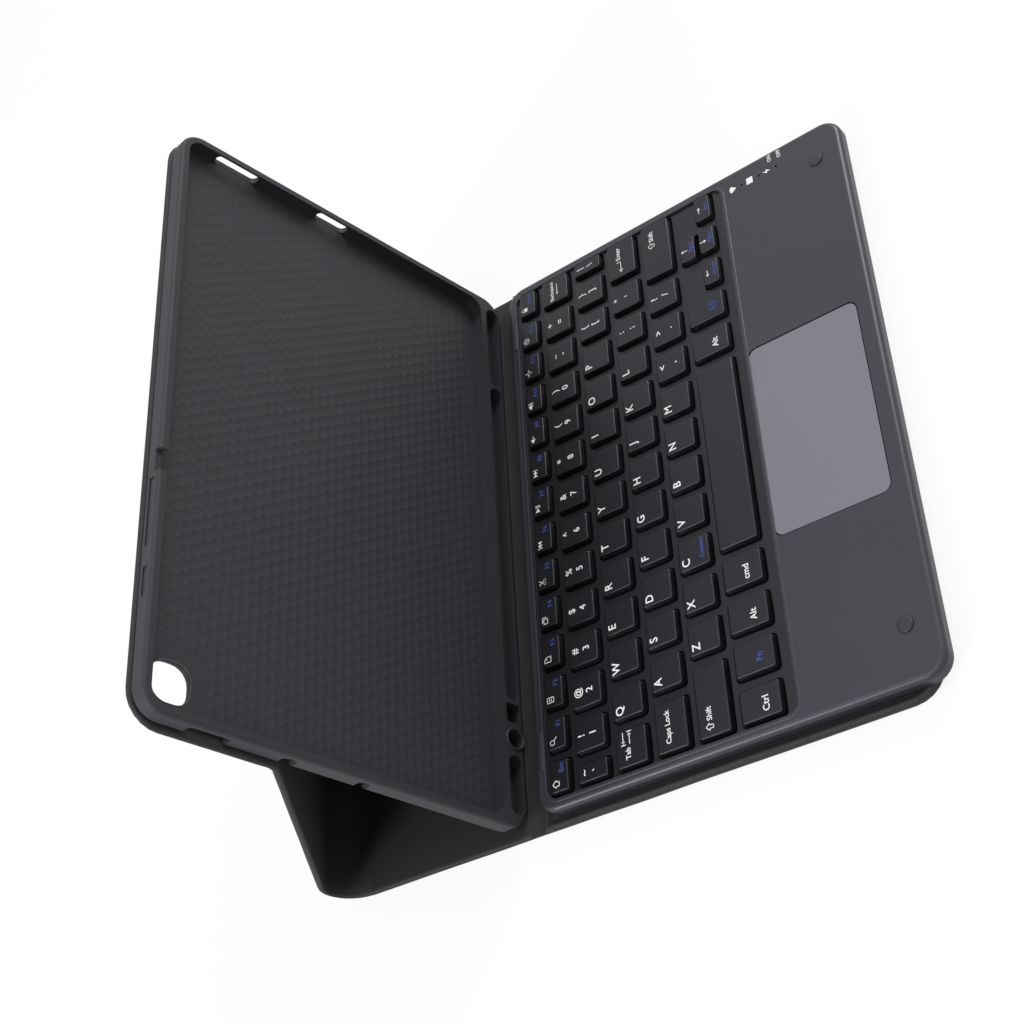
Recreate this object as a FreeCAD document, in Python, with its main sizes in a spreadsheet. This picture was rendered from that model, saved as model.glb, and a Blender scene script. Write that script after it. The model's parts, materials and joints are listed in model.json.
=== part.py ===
import FreeCAD, Part
import Sketcher
import math
import os
import re

Vector = FreeCAD.Vector
doc = FreeCAD.newDocument("tablet_keyboard_case")

# Driving dimensions, in millimetres and degrees.
# +X is to the user's right, +Y to the rear and +Z up, with the table at Z = 0.
sizes = {
    # folio cover
    "base_depth": 267.6,
    "cover_margin": 4.0,
    "cover_corner_radius": 13.0,
    "panel_thickness": 2.5,
    "skin_thickness": 0.7,
    "lining_thickness": 0.5,
    "turned_edge": 2.0,
    "fold_thickness": 1.6,
    "front_fold_width": 6.5,
    "front_panel_overhang": 1.5,
    "rear_bend_radius": 12.0,
    "tray_bend_radius": 8.0,
    "stand_attach": 110.0,
    "back_panel_overhang": 0.6,
    # keyboard housing
    "keyboard_width": 246.2,
    "keyboard_depth": 166.0,
    "keyboard_thickness": 6.5,
    "keyboard_corner_radius": 8.5,
    "keyboard_overhang": 4.0,
    "parting_height": 2.5,
    "bottom_wall": 1.0,
    "bottom_chamfer": 1.0,
    "top_wall": 1.6,
    "side_wall": 1.6,
    "rim_radius": 2.2,
    "well_width": 237.0,
    "well_depth": 106.0,
    "well_front": 55.0,
    "well_recess": 1.0,
    "well_radius": 4.0,
    # keys
    "key_field_width": 235.0,
    "key_width": 13.3,
    "key_depth": 14.0,
    "key_gap": 4.1,
    "row_gap": 3.4,
    "row_front": 4.8,
    "function_key_depth": 9.0,
    "bottom_key_depth": 16.9,
    "arrow_key_gap": 1.4,
    "backquote_width": 8.0,
    "tab_width": 15.0,
    "caps_width": 20.3,
    "shift_width": 28.3,
    "arrow_width": 12.6,
    "key_height": 3.0,
    "key_proud": 2.4,
    "key_taper": 0.6,
    "key_corner_radius": 1.2,
    "key_clearance": 0.8,
    "key_travel": 1.4,
    # key switch stack
    "key_plate_thickness": 0.4,
    "membrane_thickness": 0.3,
    "dome_sheet_thickness": 0.3,
    "dome_diameter": 5.0,
    "dome_top_diameter": 3.0,
    "dome_clearance": 0.1,
    "stack_margin": 1.0,
    # touchpad
    "touchpad_width": 83.0,
    "touchpad_depth": 46.0,
    "touchpad_front": 7.5,
    "touchpad_offset": -9.0,
    "touchpad_radius": 3.5,
    "touchpad_gap": 0.5,
    "touchpad_sink": 0.2,
    "touchpad_thickness": 1.0,
    "touchpad_board_thickness": 1.0,
    "touchpad_board_inset": 1.5,
    "touchpad_travel": 0.5,
    "touchpad_running_gap": 0.15,
    "touchpad_bracket_depth": 6.0,
    # palm rest details
    "bumper_diameter": 6.0,
    "bumper_height": 0.8,
    "bumper_seat": 0.5,
    "bumper_edge": 0.3,
    "bumper_taper": 0.8,
    "bumper_spacing": 208.0,
    "bumper_front": 12.0,
    "bumper_offset": 2.0,
    "pipe_diameter": 1.2,
    "pipe_pitch": 8.0,
    "pipe_front": 28.9,
    "pipe_side": 113.5,
    "pad_length": 15.0,
    "pad_width": 2.2,
    "pad_spacing": 196.0,
    "pad_seat": 0.4,
    "pad_proud": 0.3,
    # electronics
    "board_left": 42.0,
    "board_front": 8.0,
    "board_depth": 43.0,
    "board_thickness": 1.0,
    "board_standoff": 1.0,
    "board_gap": 2.0,
    "standoff_diameter": 4.0,
    "battery_width": 54.0,
    "battery_depth": 40.0,
    "battery_thickness": 3.2,
    "battery_front": 8.0,
    "battery_side": 111.0,
    "port_front": 46.5,
    "port_width": 9.0,
    "port_height": 3.2,
    "port_length": 7.0,
    "port_radius": 1.5,
    "port_shell": 0.4,
    "port_floor": 1.0,
    "port_inset": 0.8,
    "port_gap": 0.3,
    "tongue_thickness": 0.7,
    "tongue_width": 6.6,
    "switch_front": 31.0,
    "switch_length": 9.0,
    "switch_width": 4.0,
    "switch_height": 1.8,
    "knob_length": 2.6,
    "knob_height": 1.2,
    "knob_proud": 0.8,
    "knob_travel": 2.5,
    "knob_gap": 0.25,
    "cable_width": 22.0,
    "cable_thickness": 0.2,
    "cable_length": 11.0,
    "cable_side": 70.0,
    "click_switch_width": 6.0,
    # case screws
    "screw_diameter": 1.6,
    "screw_head_diameter": 3.2,
    "screw_head_height": 0.5,
    "screw_length": 3.6,
    "screw_gap": 0.05,
    "boss_diameter": 4.6,
    "boss_side": 117.0,
    "boss_touchpad_gap": 4.0,
    "boss_front": 5.5,
    "boss_rear": 53.4,
    # tablet tray
    "tablet_width": 244.5,
    "tablet_height": 154.3,
    "tablet_edge": 5.5,
    "tablet_radius": 7.0,
    "tablet_clearance": 0.4,
    "tray_lean": 82.0,
    "tray_foot_gap": 8.2,
    "tray_foot_clearance": 0.3,
    "tray_side_wall": 2.4,
    "tray_top_wall": 2.4,
    "tray_floor": 1.0,
    "tray_corner_radius": 10.0,
    "tray_back_chamfer": 1.0,
    "tray_lip_radius": 1.5,
    "lip_thickness": 0.9,
    "lip_overhang": 1.0,
    "pen_channel_width": 7.4,
    "pen_channel_floor": 1.2,
    "pen_outer_wall": 1.2,
    "pen_rib": 1.8,
    "pen_bar": 1.6,
    "pen_end_radius": 3.4,
    "pen_end_margin": 5.5,
    "pen_window_radius": 1.0,
    "pen_slot_right": 203.0,
    "pen_window_left": 43.0,
    "pen_window_right": 51.0,
    "pen_ring_left": 31.0,
    "camera_side": 16.0,
    "camera_height": 153.4,
    "camera_hole": 15.7,
    "camera_radius": 6.5,
    "speaker_low": 130.0,
    "speaker_length": 20.0,
    "usb_low": 84.5,
    "usb_length": 15.5,
    "slot_height": 5.0,
    "slot_lift": 0.1,
    "jack_low": 104.5,
    "jack_length": 6.0,
    "mic_low": 73.0,
    "mic_length": 5.0,
    "left_speaker_low": 131.5,
    "left_speaker_length": 16.5,
    "left_slot_height": 5.5,
    "left_slot_lift": -1.6,
    "left_slot_radius": 2.0,
    "volume_left": 61.0,
    "volume_length": 27.0,
    "power_left": 41.5,
    "power_length": 11.5,
    "button_height": 2.8,
    "button_groove": 0.5,
    "notch_left": 90.0,
    "notch_length": 9.0,
    "notch_depth": 2.5,
}

sheet = doc.addObject("Spreadsheet::Sheet", "Sizes")
for row, (name, amount) in enumerate(sizes.items(), start=1):
    sheet.set(f"A{row}", name)
    sheet.set(f"B{row}", str(amount))
    sheet.setAlias(f"B{row}", name)
doc.recompute()

size_names = re.compile(r"\b(" + "|".join(sizes) + r")\b")
working = doc.addObject("Spreadsheet::Sheet", "Working")


def from_sheet(formula):
    return size_names.sub(r"Sizes.\1", formula)


def number(formula):
    """The value of a formula written in size names, worked out on a working sheet."""
    working.set("A1", "=" + from_sheet(formula))
    working.recompute()
    return float(working.get("A1"))


def bind(item, formulas):
    """Ties properties of an object to formulas written in size names."""
    for path, formula in formulas.items():
        item.setExpression(path, from_sheet(formula))


def box(name, length, width, height, x="0", y="0", z="0"):
    item = doc.addObject("Part::Box", name)
    bind(item, {"Length": length, "Width": width, "Height": height})
    bind(item, {"Placement.Base.x": x, "Placement.Base.y": y, "Placement.Base.z": z})
    return item


def centred_box(name, length, width, height, x="0", y="0", z="0"):
    """A box with (x, y) at the middle of its footprint and z at its underside."""
    return box(name, length, width, height, f"{x} - ({length}) / 2", f"{y} - ({width}) / 2", z)


def cylinder(name, diameter, height, x="0", y="0", z="0"):
    item = doc.addObject("Part::Cylinder", name)
    bind(item, {"Radius": f"({diameter}) / 2", "Height": height})
    bind(item, {"Placement.Base.x": x, "Placement.Base.y": y, "Placement.Base.z": z})
    return item


def post(name, diameter, height, x="0", y="0", z="0", sides=8):
    """A small round that repeats or is mostly out of sight, drawn with few sides."""
    item = doc.addObject("Part::Prism", name)
    item.Polygon = sides
    bind(item, {"Circumradius": f"({diameter}) / 2", "Height": height})
    bind(item, {"Placement.Base.x": x, "Placement.Base.y": y, "Placement.Base.z": z})
    return item


def rounded(item, radius, keep=None):
    """Rounds the upright edges of a box, all of them or those that keep() picks."""
    doc.recompute()
    fillet = doc.addObject("Part::Fillet", item.Name + "_rounded")
    fillet.Base = item
    amount = number(radius)
    middle = item.Shape.BoundBox.Center
    picked = []
    for index, edge in enumerate(item.Shape.Edges, start=1):
        low, high = edge.Vertexes[0].Point, edge.Vertexes[-1].Point
        upright = abs(low.x - high.x) < 1e-6 and abs(low.y - high.y) < 1e-6
        if upright and (keep is None or keep(low - middle)):
            picked.append((index, amount, amount))
    fillet.Edges = picked
    return fillet


def cut(name, base, *tools):
    item = doc.addObject("Part::Cut", name)
    item.Base = base
    item.Tool = tools[0] if len(tools) == 1 else gathered(name + "_tools", *tools)
    return item


def fused(name, *items):
    item = doc.addObject("Part::MultiFuse", name)
    item.Shapes = list(items)
    return item


def gathered(name, *items):
    item = doc.addObject("Part::Compound", name)
    item.Links = list(items)
    return item


def origin_plane(body, role):
    return next(item for item in body.Origin.OriginFeatures if item.Role == role)


def rounded_sketch(body, name, width, depth, radius, x="0", y="0", z="0"):
    """A constrained rounded rectangle about (x, y), at height z in its body."""
    sketch = body.newObject("Sketcher::SketchObject", name)
    sketch.AttachmentSupport = [(origin_plane(body, "XY_Plane"), "")]
    sketch.MapMode = "FlatFace"
    bind(sketch, {"AttachmentOffset.Base.z": z})
    w, d, r = number(width) / 2, number(depth) / 2, number(radius)
    cx, cy = number(x), number(y)

    def at(px, py):
        return Vector(cx + px, cy + py, 0)

    def corner(px, py, start):
        circle = Part.Circle(at(px, py), Vector(0, 0, 1), r)
        return Part.ArcOfCircle(circle, math.radians(start), math.radians(start + 90))

    sketch.addGeometry([
        Part.LineSegment(at(r - w, -d), at(w - r, -d)),
        Part.LineSegment(at(w, r - d), at(w, d - r)),
        Part.LineSegment(at(w - r, d), at(r - w, d)),
        Part.LineSegment(at(-w, d - r), at(-w, r - d)),
        corner(w - r, r - d, -90),
        corner(w - r, d - r, 0),
        corner(r - w, d - r, 90),
        corner(r - w, r - d, 180),
    ], False)
    for side in range(4):
        sketch.addConstraint(Sketcher.Constraint("Tangent", side, 2, 4 + side, 1))
        sketch.addConstraint(Sketcher.Constraint("Tangent", 4 + side, 2, (side + 1) % 4, 1))
        sketch.addConstraint(Sketcher.Constraint("Vertical" if side % 2 else "Horizontal", side))
    for arc in (5, 6, 7):
        sketch.addConstraint(Sketcher.Constraint("Equal", 4, arc))
    driven = [
        (Sketcher.Constraint("Radius", 4, r), radius),
        (Sketcher.Constraint("DistanceX", 3, 1, 1, 1, 2 * w), width),
        (Sketcher.Constraint("DistanceY", 0, 1, 2, 1, 2 * d), depth),
        (Sketcher.Constraint("DistanceX", -1, 1, 1, 1, cx + w), f"{x} + ({width}) / 2"),
        (Sketcher.Constraint("DistanceY", -1, 1, 2, 1, cy + d), f"{y} + ({depth}) / 2"),
    ]
    for constraint, formula in driven:
        place = sketch.addConstraint(constraint)
        bind(sketch, {f"Constraints[{place}]": formula})
    return sketch


def pad(body, sketch, length):
    item = body.newObject("PartDesign::Pad", sketch.Name + "_pad")
    item.Profile = sketch
    bind(item, {"Length": length})
    return item


def pocket(body, sketch, length, upwards=False):
    item = body.newObject("PartDesign::Pocket", sketch.Name + "_pocket")
    item.Profile = sketch
    item.Reversed = upwards
    bind(item, {"Length": length})
    return item


def ease_edges(body, name, amount, picks, kind="Fillet"):
    """Fillets or chamfers the edges of the body's tip that picks() accepts."""
    doc.recompute()
    tip = body.Tip
    edges = [f"Edge{index}" for index, edge in enumerate(tip.Shape.Edges, start=1) if picks(edge)]
    item = body.newObject(f"PartDesign::{kind}", name)
    item.Base = (tip, edges)
    bind(item, {"Radius" if kind == "Fillet" else "Size": amount})
    return item


subparts = {}


def place(name, item, base=Vector(), turn=0.0):
    """Names a finished sub-part and seats it, turned about the X axis."""
    if item.TypeId in ("Part::Box", "Part::Cylinder", "Part::Prism"):
        item = gathered(name + "_seated", item)
    item.Label = name
    item.Placement = FreeCAD.Placement(base, FreeCAD.Rotation(Vector(1, 0, 0), turn))
    subparts[name] = item


# Heights, widths and depths that several pieces share
cover_width = "(keyboard_width + 2 * cover_margin)"
panel_top = "panel_thickness"
case_top = "(panel_thickness + keyboard_thickness)"
parting = "(panel_thickness + parting_height)"
inner_floor = "(panel_thickness + bottom_wall)"
inner_roof = "(panel_thickness + keyboard_thickness - top_wall)"
well_floor = "(panel_thickness + keyboard_thickness - well_recess)"
case_front = "(-base_depth / 2)"
cover_front = "(keyboard_overhang - base_depth / 2)"
case_middle = f"({case_front} + keyboard_depth / 2)"
case_rear = f"({case_front} + keyboard_depth)"
well_middle = f"({case_front} + well_front + well_depth / 2)"
front_panel_length = "(keyboard_depth - keyboard_overhang + front_panel_overhang)"
rear_panel_start = f"({cover_front} + {front_panel_length} + front_fold_width)"
rear_bend_middle = "(base_depth / 2 - rear_bend_radius - fold_thickness / 2)"
tray_depth = "(tray_floor + tablet_edge + lip_thickness)"
pocket_width = "(tablet_width + 2 * tablet_clearance)"
pocket_height = "(tablet_height + 2 * tablet_clearance)"
tray_width = f"({pocket_width} + 2 * tray_side_wall)"
pocket_bottom = "(pen_outer_wall + pen_channel_width + pen_rib)"
tray_height = f"({pocket_bottom} + {pocket_height} + tray_top_wall)"

# Stand geometry in the side view, as (Y, Z): the tray stands on the rear panel, and the
# flap runs from the tray's back down to the bend at the rear edge of the base
lean = math.radians(number("tray_lean"))
up_the_tray = Vector(0, math.cos(lean), math.sin(lean))
tray_front = Vector(0, -math.sin(lean), math.cos(lean))
half_panel = number("panel_thickness / 2")
heel_lift = number("tray_back_chamfer") * math.cos(lean)
front_foot_y = number(f"{case_rear} + tray_foot_gap")
tray_heel = Vector(
    0,
    front_foot_y + number(tray_depth) * math.sin(lean),
    number("panel_thickness + tray_foot_clearance") - heel_lift,
)
attach_point = tray_heel + up_the_tray * number("stand_attach") - tray_front * half_panel
bend_radius = number("rear_bend_radius")
bend_centre = Vector(0, number(rear_bend_middle), half_panel + bend_radius)
reach = attach_point - bend_centre
bend_end = math.atan2(reach.z, reach.y) - math.acos(bend_radius / math.hypot(reach.y, reach.z))
flap_turn = math.degrees(bend_end) + 90
flap_foot = bend_centre + Vector(0, math.cos(bend_end), math.sin(bend_end)) * bend_radius
along_flap = Vector(0, -math.sin(bend_end), math.cos(bend_end))
tray_bend_turn = flap_turn - number("tray_lean")
tray_bend_run = number("tray_bend_radius") * math.tan(math.radians(tray_bend_turn / 2))
flap_length = (attach_point - flap_foot).Length - tray_bend_run
stand_fold_turn = flap_turn

# Laid out flat, the rear bend becomes a straight strip as long as its arc, and the
# stand's pivot is the point that carries the flap's foot from one state to the other
bend_length = bend_radius * math.radians(stand_fold_turn)
flat_foot = Vector(0, bend_centre.y + bend_length, half_panel)
chord = flat_foot - flap_foot
to_pivot = chord.Length / (2 * math.tan(math.radians(stand_fold_turn / 2)))
pivot_side = Vector(0, chord.z, -chord.y) / chord.Length
rear_pivot = (flap_foot + flat_foot) / 2 + pivot_side * to_pivot
front_pivot = Vector(0, number(f"{rear_panel_start} - front_fold_width / 2"), half_panel)
for spot, point in (("front fold", front_pivot), ("stand fold", rear_pivot), ("tray fold", attach_point)):
    print(f"{spot} pivot: y {point.y:.3f}, z {point.z:.3f}")
print(f"stand folds {flap_turn:.3f} degrees, tray folds {tray_bend_turn:.3f} degrees")
print(f"tray heel: y {tray_heel.y:.4f}, z {tray_heel.z:.4f}")


def panel(prefix, length, base, turn, rounded_end=None, hole=None):
    """A cover panel: grained skin turned over the edges of a board, with a lining inside.

    It is drawn flat, its length along Y and its middle plane at Z = 0, lining upwards.
    """
    inner_width = f"({cover_width} - 2 * turned_edge)"
    inner_length = f"({length} - 2 * turned_edge)"
    layers = {
        "skin": (cover_width, length, "panel_thickness", "0", "-panel_thickness / 2"),
        "recess": (inner_width, inner_length, "panel_thickness - skin_thickness",
                   "turned_edge", "skin_thickness - panel_thickness / 2"),
        "board": (inner_width, inner_length,
                  "panel_thickness - skin_thickness - lining_thickness",
                  "turned_edge", "skin_thickness - panel_thickness / 2"),
        "lining": (inner_width, inner_length, "lining_thickness",
                   "turned_edge", "panel_thickness / 2 - lining_thickness"),
    }
    solids = {}
    for layer, (across, along, thick, y, z) in layers.items():
        solid = box(f"{prefix}_{layer}_sheet", across, along, thick, f"-({across}) / 2", y, z)
        if rounded_end:
            radius = "cover_corner_radius"
            if layer != "skin":
                radius = "cover_corner_radius - turned_edge"
            solid = rounded(solid, radius, rounded_end)
        solids[layer] = solid
    solids["skin"] = cut(f"{prefix}_skin_wrap", solids["skin"], solids.pop("recess"))
    for layer, solid in solids.items():
        if hole:
            solid = cut(f"{prefix}_{layer}_holed", solid, hole(f"{prefix}_{layer}_hole"))
        place(f"{prefix}_{layer}", solid, base, turn)


def front_end(offset):
    return offset.y < 0


def rear_end(offset):
    return offset.y > 0


# Cover panels, from the front edge round to the tray's back
panel("front_panel", front_panel_length, Vector(0, number(cover_front), half_panel), 0, front_end)
rear_panel_length = f"({rear_bend_middle} - {rear_panel_start})"
panel("rear_panel", rear_panel_length, Vector(0, number(rear_panel_start), half_panel), 0)
panel("stand_flap", str(flap_length), flap_foot, flap_turn)

back_panel_start = number("stand_attach") + tray_bend_run
back_panel_length = f"({tray_height} + back_panel_overhang - {back_panel_start})"


def camera_hole(name):
    square = centred_box(
        name, "camera_hole", "camera_hole", "2 * panel_thickness",
        f"camera_side - {tray_width} / 2", f"camera_height - {back_panel_start}", "-panel_thickness")
    return rounded(square, "camera_radius")


back_panel_base = tray_heel + up_the_tray * back_panel_start - tray_front * half_panel
panel("back_panel", back_panel_length, back_panel_base, number("tray_lean"), rear_end, camera_hole)


def bend(name, radius, turn, centre, start):
    """A strip of soft leather bent about an axis along X, from the start angle on."""
    ring = []
    for side, sign in (("outer", "+"), ("inner", "-")):
        tube = cylinder(f"{name}_{side}", f"2 * {radius} {sign} fold_thickness", cover_width)
        tube.Angle = turn
        ring.append(tube)
    item = cut(f"{name}_ring", *ring)
    item.Label = name
    middle = centre - Vector(number(f"{cover_width} / 2"), 0, 0)
    along_x = FreeCAD.Rotation(Vector(0, 1, 0), 90)
    quarter = FreeCAD.Rotation(Vector(1, 0, 0), start + 90)
    item.Placement = FreeCAD.Placement(middle, quarter.multiply(along_x))
    subparts[name] = item


# Soft folds between the panels: flat in front of the tray, bent at the rear and on the back
front_fold = box(
    "front_fold_sheet", cover_width, "front_fold_width", "fold_thickness",
    f"-{cover_width} / 2", "0", "-fold_thickness / 2")
place("front_fold_strip", front_fold, front_pivot - Vector(0, number("front_fold_width / 2"), 0))
bend("rear_fold_strip", "rear_bend_radius", stand_fold_turn, bend_centre, -90)
tray_bend_start = attach_point + up_the_tray * tray_bend_run
tray_bend_centre = tray_bend_start - tray_front * number("tray_bend_radius")
bend("tray_fold_strip", "tray_bend_radius", tray_bend_turn, tray_bend_centre,
     number("tray_lean") + 90)


# Keyboard housing: two shells that meet at a parting line round the sides
inner_case = ("keyboard_width - 2 * side_wall", "keyboard_depth - 2 * side_wall",
              "keyboard_corner_radius - side_wall")
outer_case = ("keyboard_width", "keyboard_depth", "keyboard_corner_radius")


def lies_at(height):
    return lambda edge: edge.BoundBox.ZMax - edge.BoundBox.ZMin < 1e-6 and abs(
        edge.BoundBox.ZMax - height) < 1e-6


bottom_shell = doc.addObject("PartDesign::Body", "bottom_shell")
pad(bottom_shell, rounded_sketch(bottom_shell, "bottom_outline", *outer_case, "0", case_middle, panel_top),
    "parting_height")
ease_edges(bottom_shell, "bottom_edge", "bottom_chamfer", lies_at(number(panel_top)), "Chamfer")
pocket(bottom_shell, rounded_sketch(bottom_shell, "bottom_inside", *inner_case, "0", case_middle, parting),
       "parting_height - bottom_wall")

top_shell = doc.addObject("PartDesign::Body", "top_shell")
pad(top_shell, rounded_sketch(top_shell, "top_outline", *outer_case, "0", case_middle, parting),
    "keyboard_thickness - parting_height")
ease_edges(top_shell, "top_rim", "rim_radius", lies_at(number(case_top)))
pocket(top_shell, rounded_sketch(top_shell, "top_inside", *inner_case, "0", case_middle, parting),
       "keyboard_thickness - top_wall - parting_height", upwards=True)
pocket(top_shell, rounded_sketch(top_shell, "key_well", "well_width", "well_depth", "well_radius",
                                 "0", well_middle, case_top), "well_recess")

# Six screws through the bottom shell into bosses under the palm rest
boss_places = [(f"{side} * boss_side", f"{case_front} + {depth}")
               for side in ("-1", "1") for depth in ("boss_front", "boss_rear")]
boss_places += [(f"touchpad_offset {side} (touchpad_width / 2 + boss_touchpad_gap)",
                 f"{case_front} + boss_front") for side in "-+"]
bosses, boss_holes, screw_holes, screws = [], [], [], []
screw_seat = "(panel_thickness + screw_head_height)"
for index, (x, y) in enumerate(boss_places):
    bosses.append(post(
        f"boss_{index}", "boss_diameter", f"{inner_roof} - {inner_floor}", x, y, inner_floor))
    boss_holes.append(post(
        f"boss_hole_{index}", "screw_diameter + 2 * screw_gap",
        f"{screw_seat} + screw_length + screw_gap - {inner_floor}", x, y, inner_floor))
    screw_holes.append(fused(
        f"screw_hole_{index}",
        post(f"screw_way_{index}", "screw_diameter + 2 * screw_gap", "bottom_wall", x, y, panel_top),
        post(f"screw_sink_{index}", "screw_head_diameter + 2 * screw_gap", "screw_head_height",
             x, y, panel_top)))
    screws.append(fused(
        f"screw_{index}",
        post(f"screw_head_{index}", "screw_head_diameter", "screw_head_height", x, y, panel_top),
        post(f"screw_shank_{index}", "screw_diameter", "screw_length", x, y, screw_seat)))
place("case_screws", gathered("case_screw_set", *screws))

# Charging port in the right side wall, and its window in both shells
port_z = f"({inner_floor} + ({inner_roof} - {inner_floor} - port_height) / 2)"
port_outer = "(keyboard_width / 2 - port_inset)"
port_y = f"({case_front} + port_front)"


def pill_along_x(name, length, width, height, radius, x, y, z):
    """A rounded bar along +X from x, centred on y, with z at its underside."""
    flat = rounded(centred_box(name, height, width, length), radius)
    item = gathered(name + "_turned", flat)
    item.Placement = FreeCAD.Placement(
        Vector(number(x), number(y), number(f"{z} + ({height}) / 2")),
        FreeCAD.Rotation(Vector(0, 1, 0), 90))
    return item


def port_bar(name, grow, length, x):
    return pill_along_x(name, length, f"port_width + 2 * {grow}", f"port_height + 2 * {grow}",
                        f"port_radius + {grow}", x, port_y, f"{port_z} - {grow}")


port_start = f"{port_outer} - port_length"
port_tongue = box("port_tongue", "port_length - 2 * port_floor", "tongue_width", "tongue_thickness",
                  f"{port_start} + port_floor", f"{port_y} - tongue_width / 2",
                  f"{port_z} + (port_height - tongue_thickness) / 2")
port_shell = cut("port_shell_bar", port_bar("port_outside", "0", "port_length", port_start),
                 port_bar("port_inside", "(-port_shell)", "port_length", f"{port_start} + port_floor"))
place("charging_port", fused("charging_port_body", port_shell, port_tongue))


def port_window(name):
    return port_bar(name, "port_gap", "2 * side_wall", "keyboard_width / 2 - 1.5 * side_wall")


# Main board on four standoffs, notched round the port
board_right = "(keyboard_width / 2 - side_wall - board_gap)"
board_width = f"({board_right} - board_left)"
board_y = f"({case_front} + board_front)"
board_under = f"({inner_floor} + board_standoff)"
board_top = f"({board_under} + board_thickness)"
board_sheet = box("board_sheet", board_width, "board_depth", "board_thickness",
                  "board_left", board_y, board_under)
notch_y = f"({port_y} - port_width / 2 - port_gap)"
board_notch = box("board_notch", "port_length", "port_width + board_depth", "2 * board_thickness",
                  port_start, notch_y, board_under)
place("main_board", cut("board_notched", board_sheet, board_notch))
standoffs = [post(f"standoff_{x}{y}", "standoff_diameter", "board_standoff",
                  f"board_left + standoff_diameter + {x} * ({board_width} - 4 * standoff_diameter)",
                  f"{board_y} + standoff_diameter + {y} * (board_depth - 4 * standoff_diameter)",
                  inner_floor)
             for x in (0, 1) for y in (0, 1)]
bottom_case = cut("bottom_case_cut", fused("bottom_case_whole", bottom_shell, *standoffs),
                  *screw_holes, port_window("bottom_port_window"))
place("bottom_case", bottom_case)

battery = box("battery_cell", "battery_width", "battery_depth", "battery_thickness",
              "-battery_side", f"{case_front} + battery_front", inner_floor)
place("battery", rounded(battery, "standoff_diameter / 2"))

# Slide switch beside the port: its knob travels along the right side
switch_y = f"({case_front} + switch_front)"
place("power_switch_body", box("switch_block", "switch_width", "switch_length", "switch_height",
                               f"{board_right} - switch_width", f"{switch_y} - switch_length / 2", board_top))
knob_z = f"({board_top} + (switch_height - knob_height) / 2)"
knob_reach = f"(keyboard_width / 2 + knob_proud - {board_right} - knob_gap / 2)"
place("power_switch_knob", box(
    "switch_knob", knob_reach, "knob_length", "knob_height", f"{board_right} + knob_gap / 2",
    f"{switch_y} - (knob_travel + knob_length) / 2", knob_z))
switch_slot = box(
    "switch_slot", "2 * side_wall", "knob_length + knob_travel + 2 * knob_gap", "knob_height + 2 * knob_gap",
    "keyboard_width / 2 - 1.5 * side_wall",
    f"{switch_y} - (knob_travel + knob_length) / 2 - knob_gap", f"{knob_z} - knob_gap")

# Keys: rows from the front to the rear, each written from left to right
field_left = number("-key_field_width / 2")
key_gap = number("key_gap")
letter = number("key_width")
keys = []


def key_row(group, front, depth, widths):
    """Adds one row. A width of None takes up the rest of the field."""
    known = sum(width for _, width in widths if width is not None)
    rest = number("key_field_width") - known - key_gap * (len(widths) - 1)
    x = field_left
    for name, width in widths:
        width = rest if width is None else width
        keys.append((name or group, x, front, width, depth))
        x += width + key_gap


def letters(count):
    return [(None, letter)] * count


row_front = number(f"{case_front} + well_front + row_front")
bottom_depth = number("bottom_key_depth")
arrow = number("arrow_width")
arrow_depth = number("(bottom_key_depth - arrow_key_gap) / 2")
key_row("bottom", row_front, bottom_depth, [
    ("key_ctrl", letter), ("key_fn", letter), ("key_alt_left", letter), ("key_command", letter),
    ("key_space", None), ("key_alt_right", arrow), ("key_input", arrow),
    ("key_arrow_left", arrow), ("key_arrow_up", arrow), ("key_arrow_right", arrow)])
for place_in_list, (name, x, y, width, depth) in enumerate(keys):
    if name in ("key_arrow_left", "key_arrow_right"):
        keys[place_in_list] = (name, x, y, width, arrow_depth)
    if name == "key_arrow_up":
        keys[place_in_list] = (name, x, y + bottom_depth - arrow_depth, width, arrow_depth)
        keys.append(("key_arrow_down", x, y, width, arrow_depth))
row_front += bottom_depth + number("row_gap")
row_step = number("key_depth + row_gap")
key_depth = number("key_depth")
key_row("keys_z_row", row_front, key_depth, [
    ("key_shift_left", number("shift_width")), *letters(10), ("key_shift_right", None)])
key_row("keys_a_row", row_front + row_step, key_depth, [
    ("key_caps_lock", number("caps_width")), *letters(11), ("key_enter", None)])
key_row("keys_q_row", row_front + 2 * row_step, key_depth, [
    ("key_tab", number("tab_width")), *letters(12), ("key_backslash", None)])
key_row("keys_number_row", row_front + 3 * row_step, key_depth, [
    ("key_backquote", number("backquote_width")), *letters(12), ("key_backspace", None)])
function_width = (number("key_field_width") - 13 * key_gap) / 14
key_row("keys_function_row", row_front + 4 * row_step, number("function_key_depth"),
        [(None, function_width)] * 14)


def outline(width, depth, radius, z):
    """A closed rectangle about the Z axis, its corners cut off."""
    points = []
    for sx, sy in ((1, -1), (1, 1), (-1, 1), (-1, -1)):
        side = Vector(sx * width / 2, sy * (depth / 2 - radius), z)
        end = Vector(sx * (width / 2 - radius), sy * depth / 2, z)
        points += (side, end) if sx * sy > 0 else (end, side)
    return Part.makePolygon(points + points[:1])


def keycap(name, width, depth):
    """A cap that tapers from its skirt to a smaller top."""
    taper = number("key_taper")
    radius = number("key_corner_radius")
    skirt = outline(width, depth, radius, 0)
    top = outline(width - 2 * taper, depth - 2 * taper, radius, number("key_height"))
    item = doc.addObject("Part::Feature", name)
    item.Shape = Part.makeLoft([skirt, top], True, True)
    return item


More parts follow.
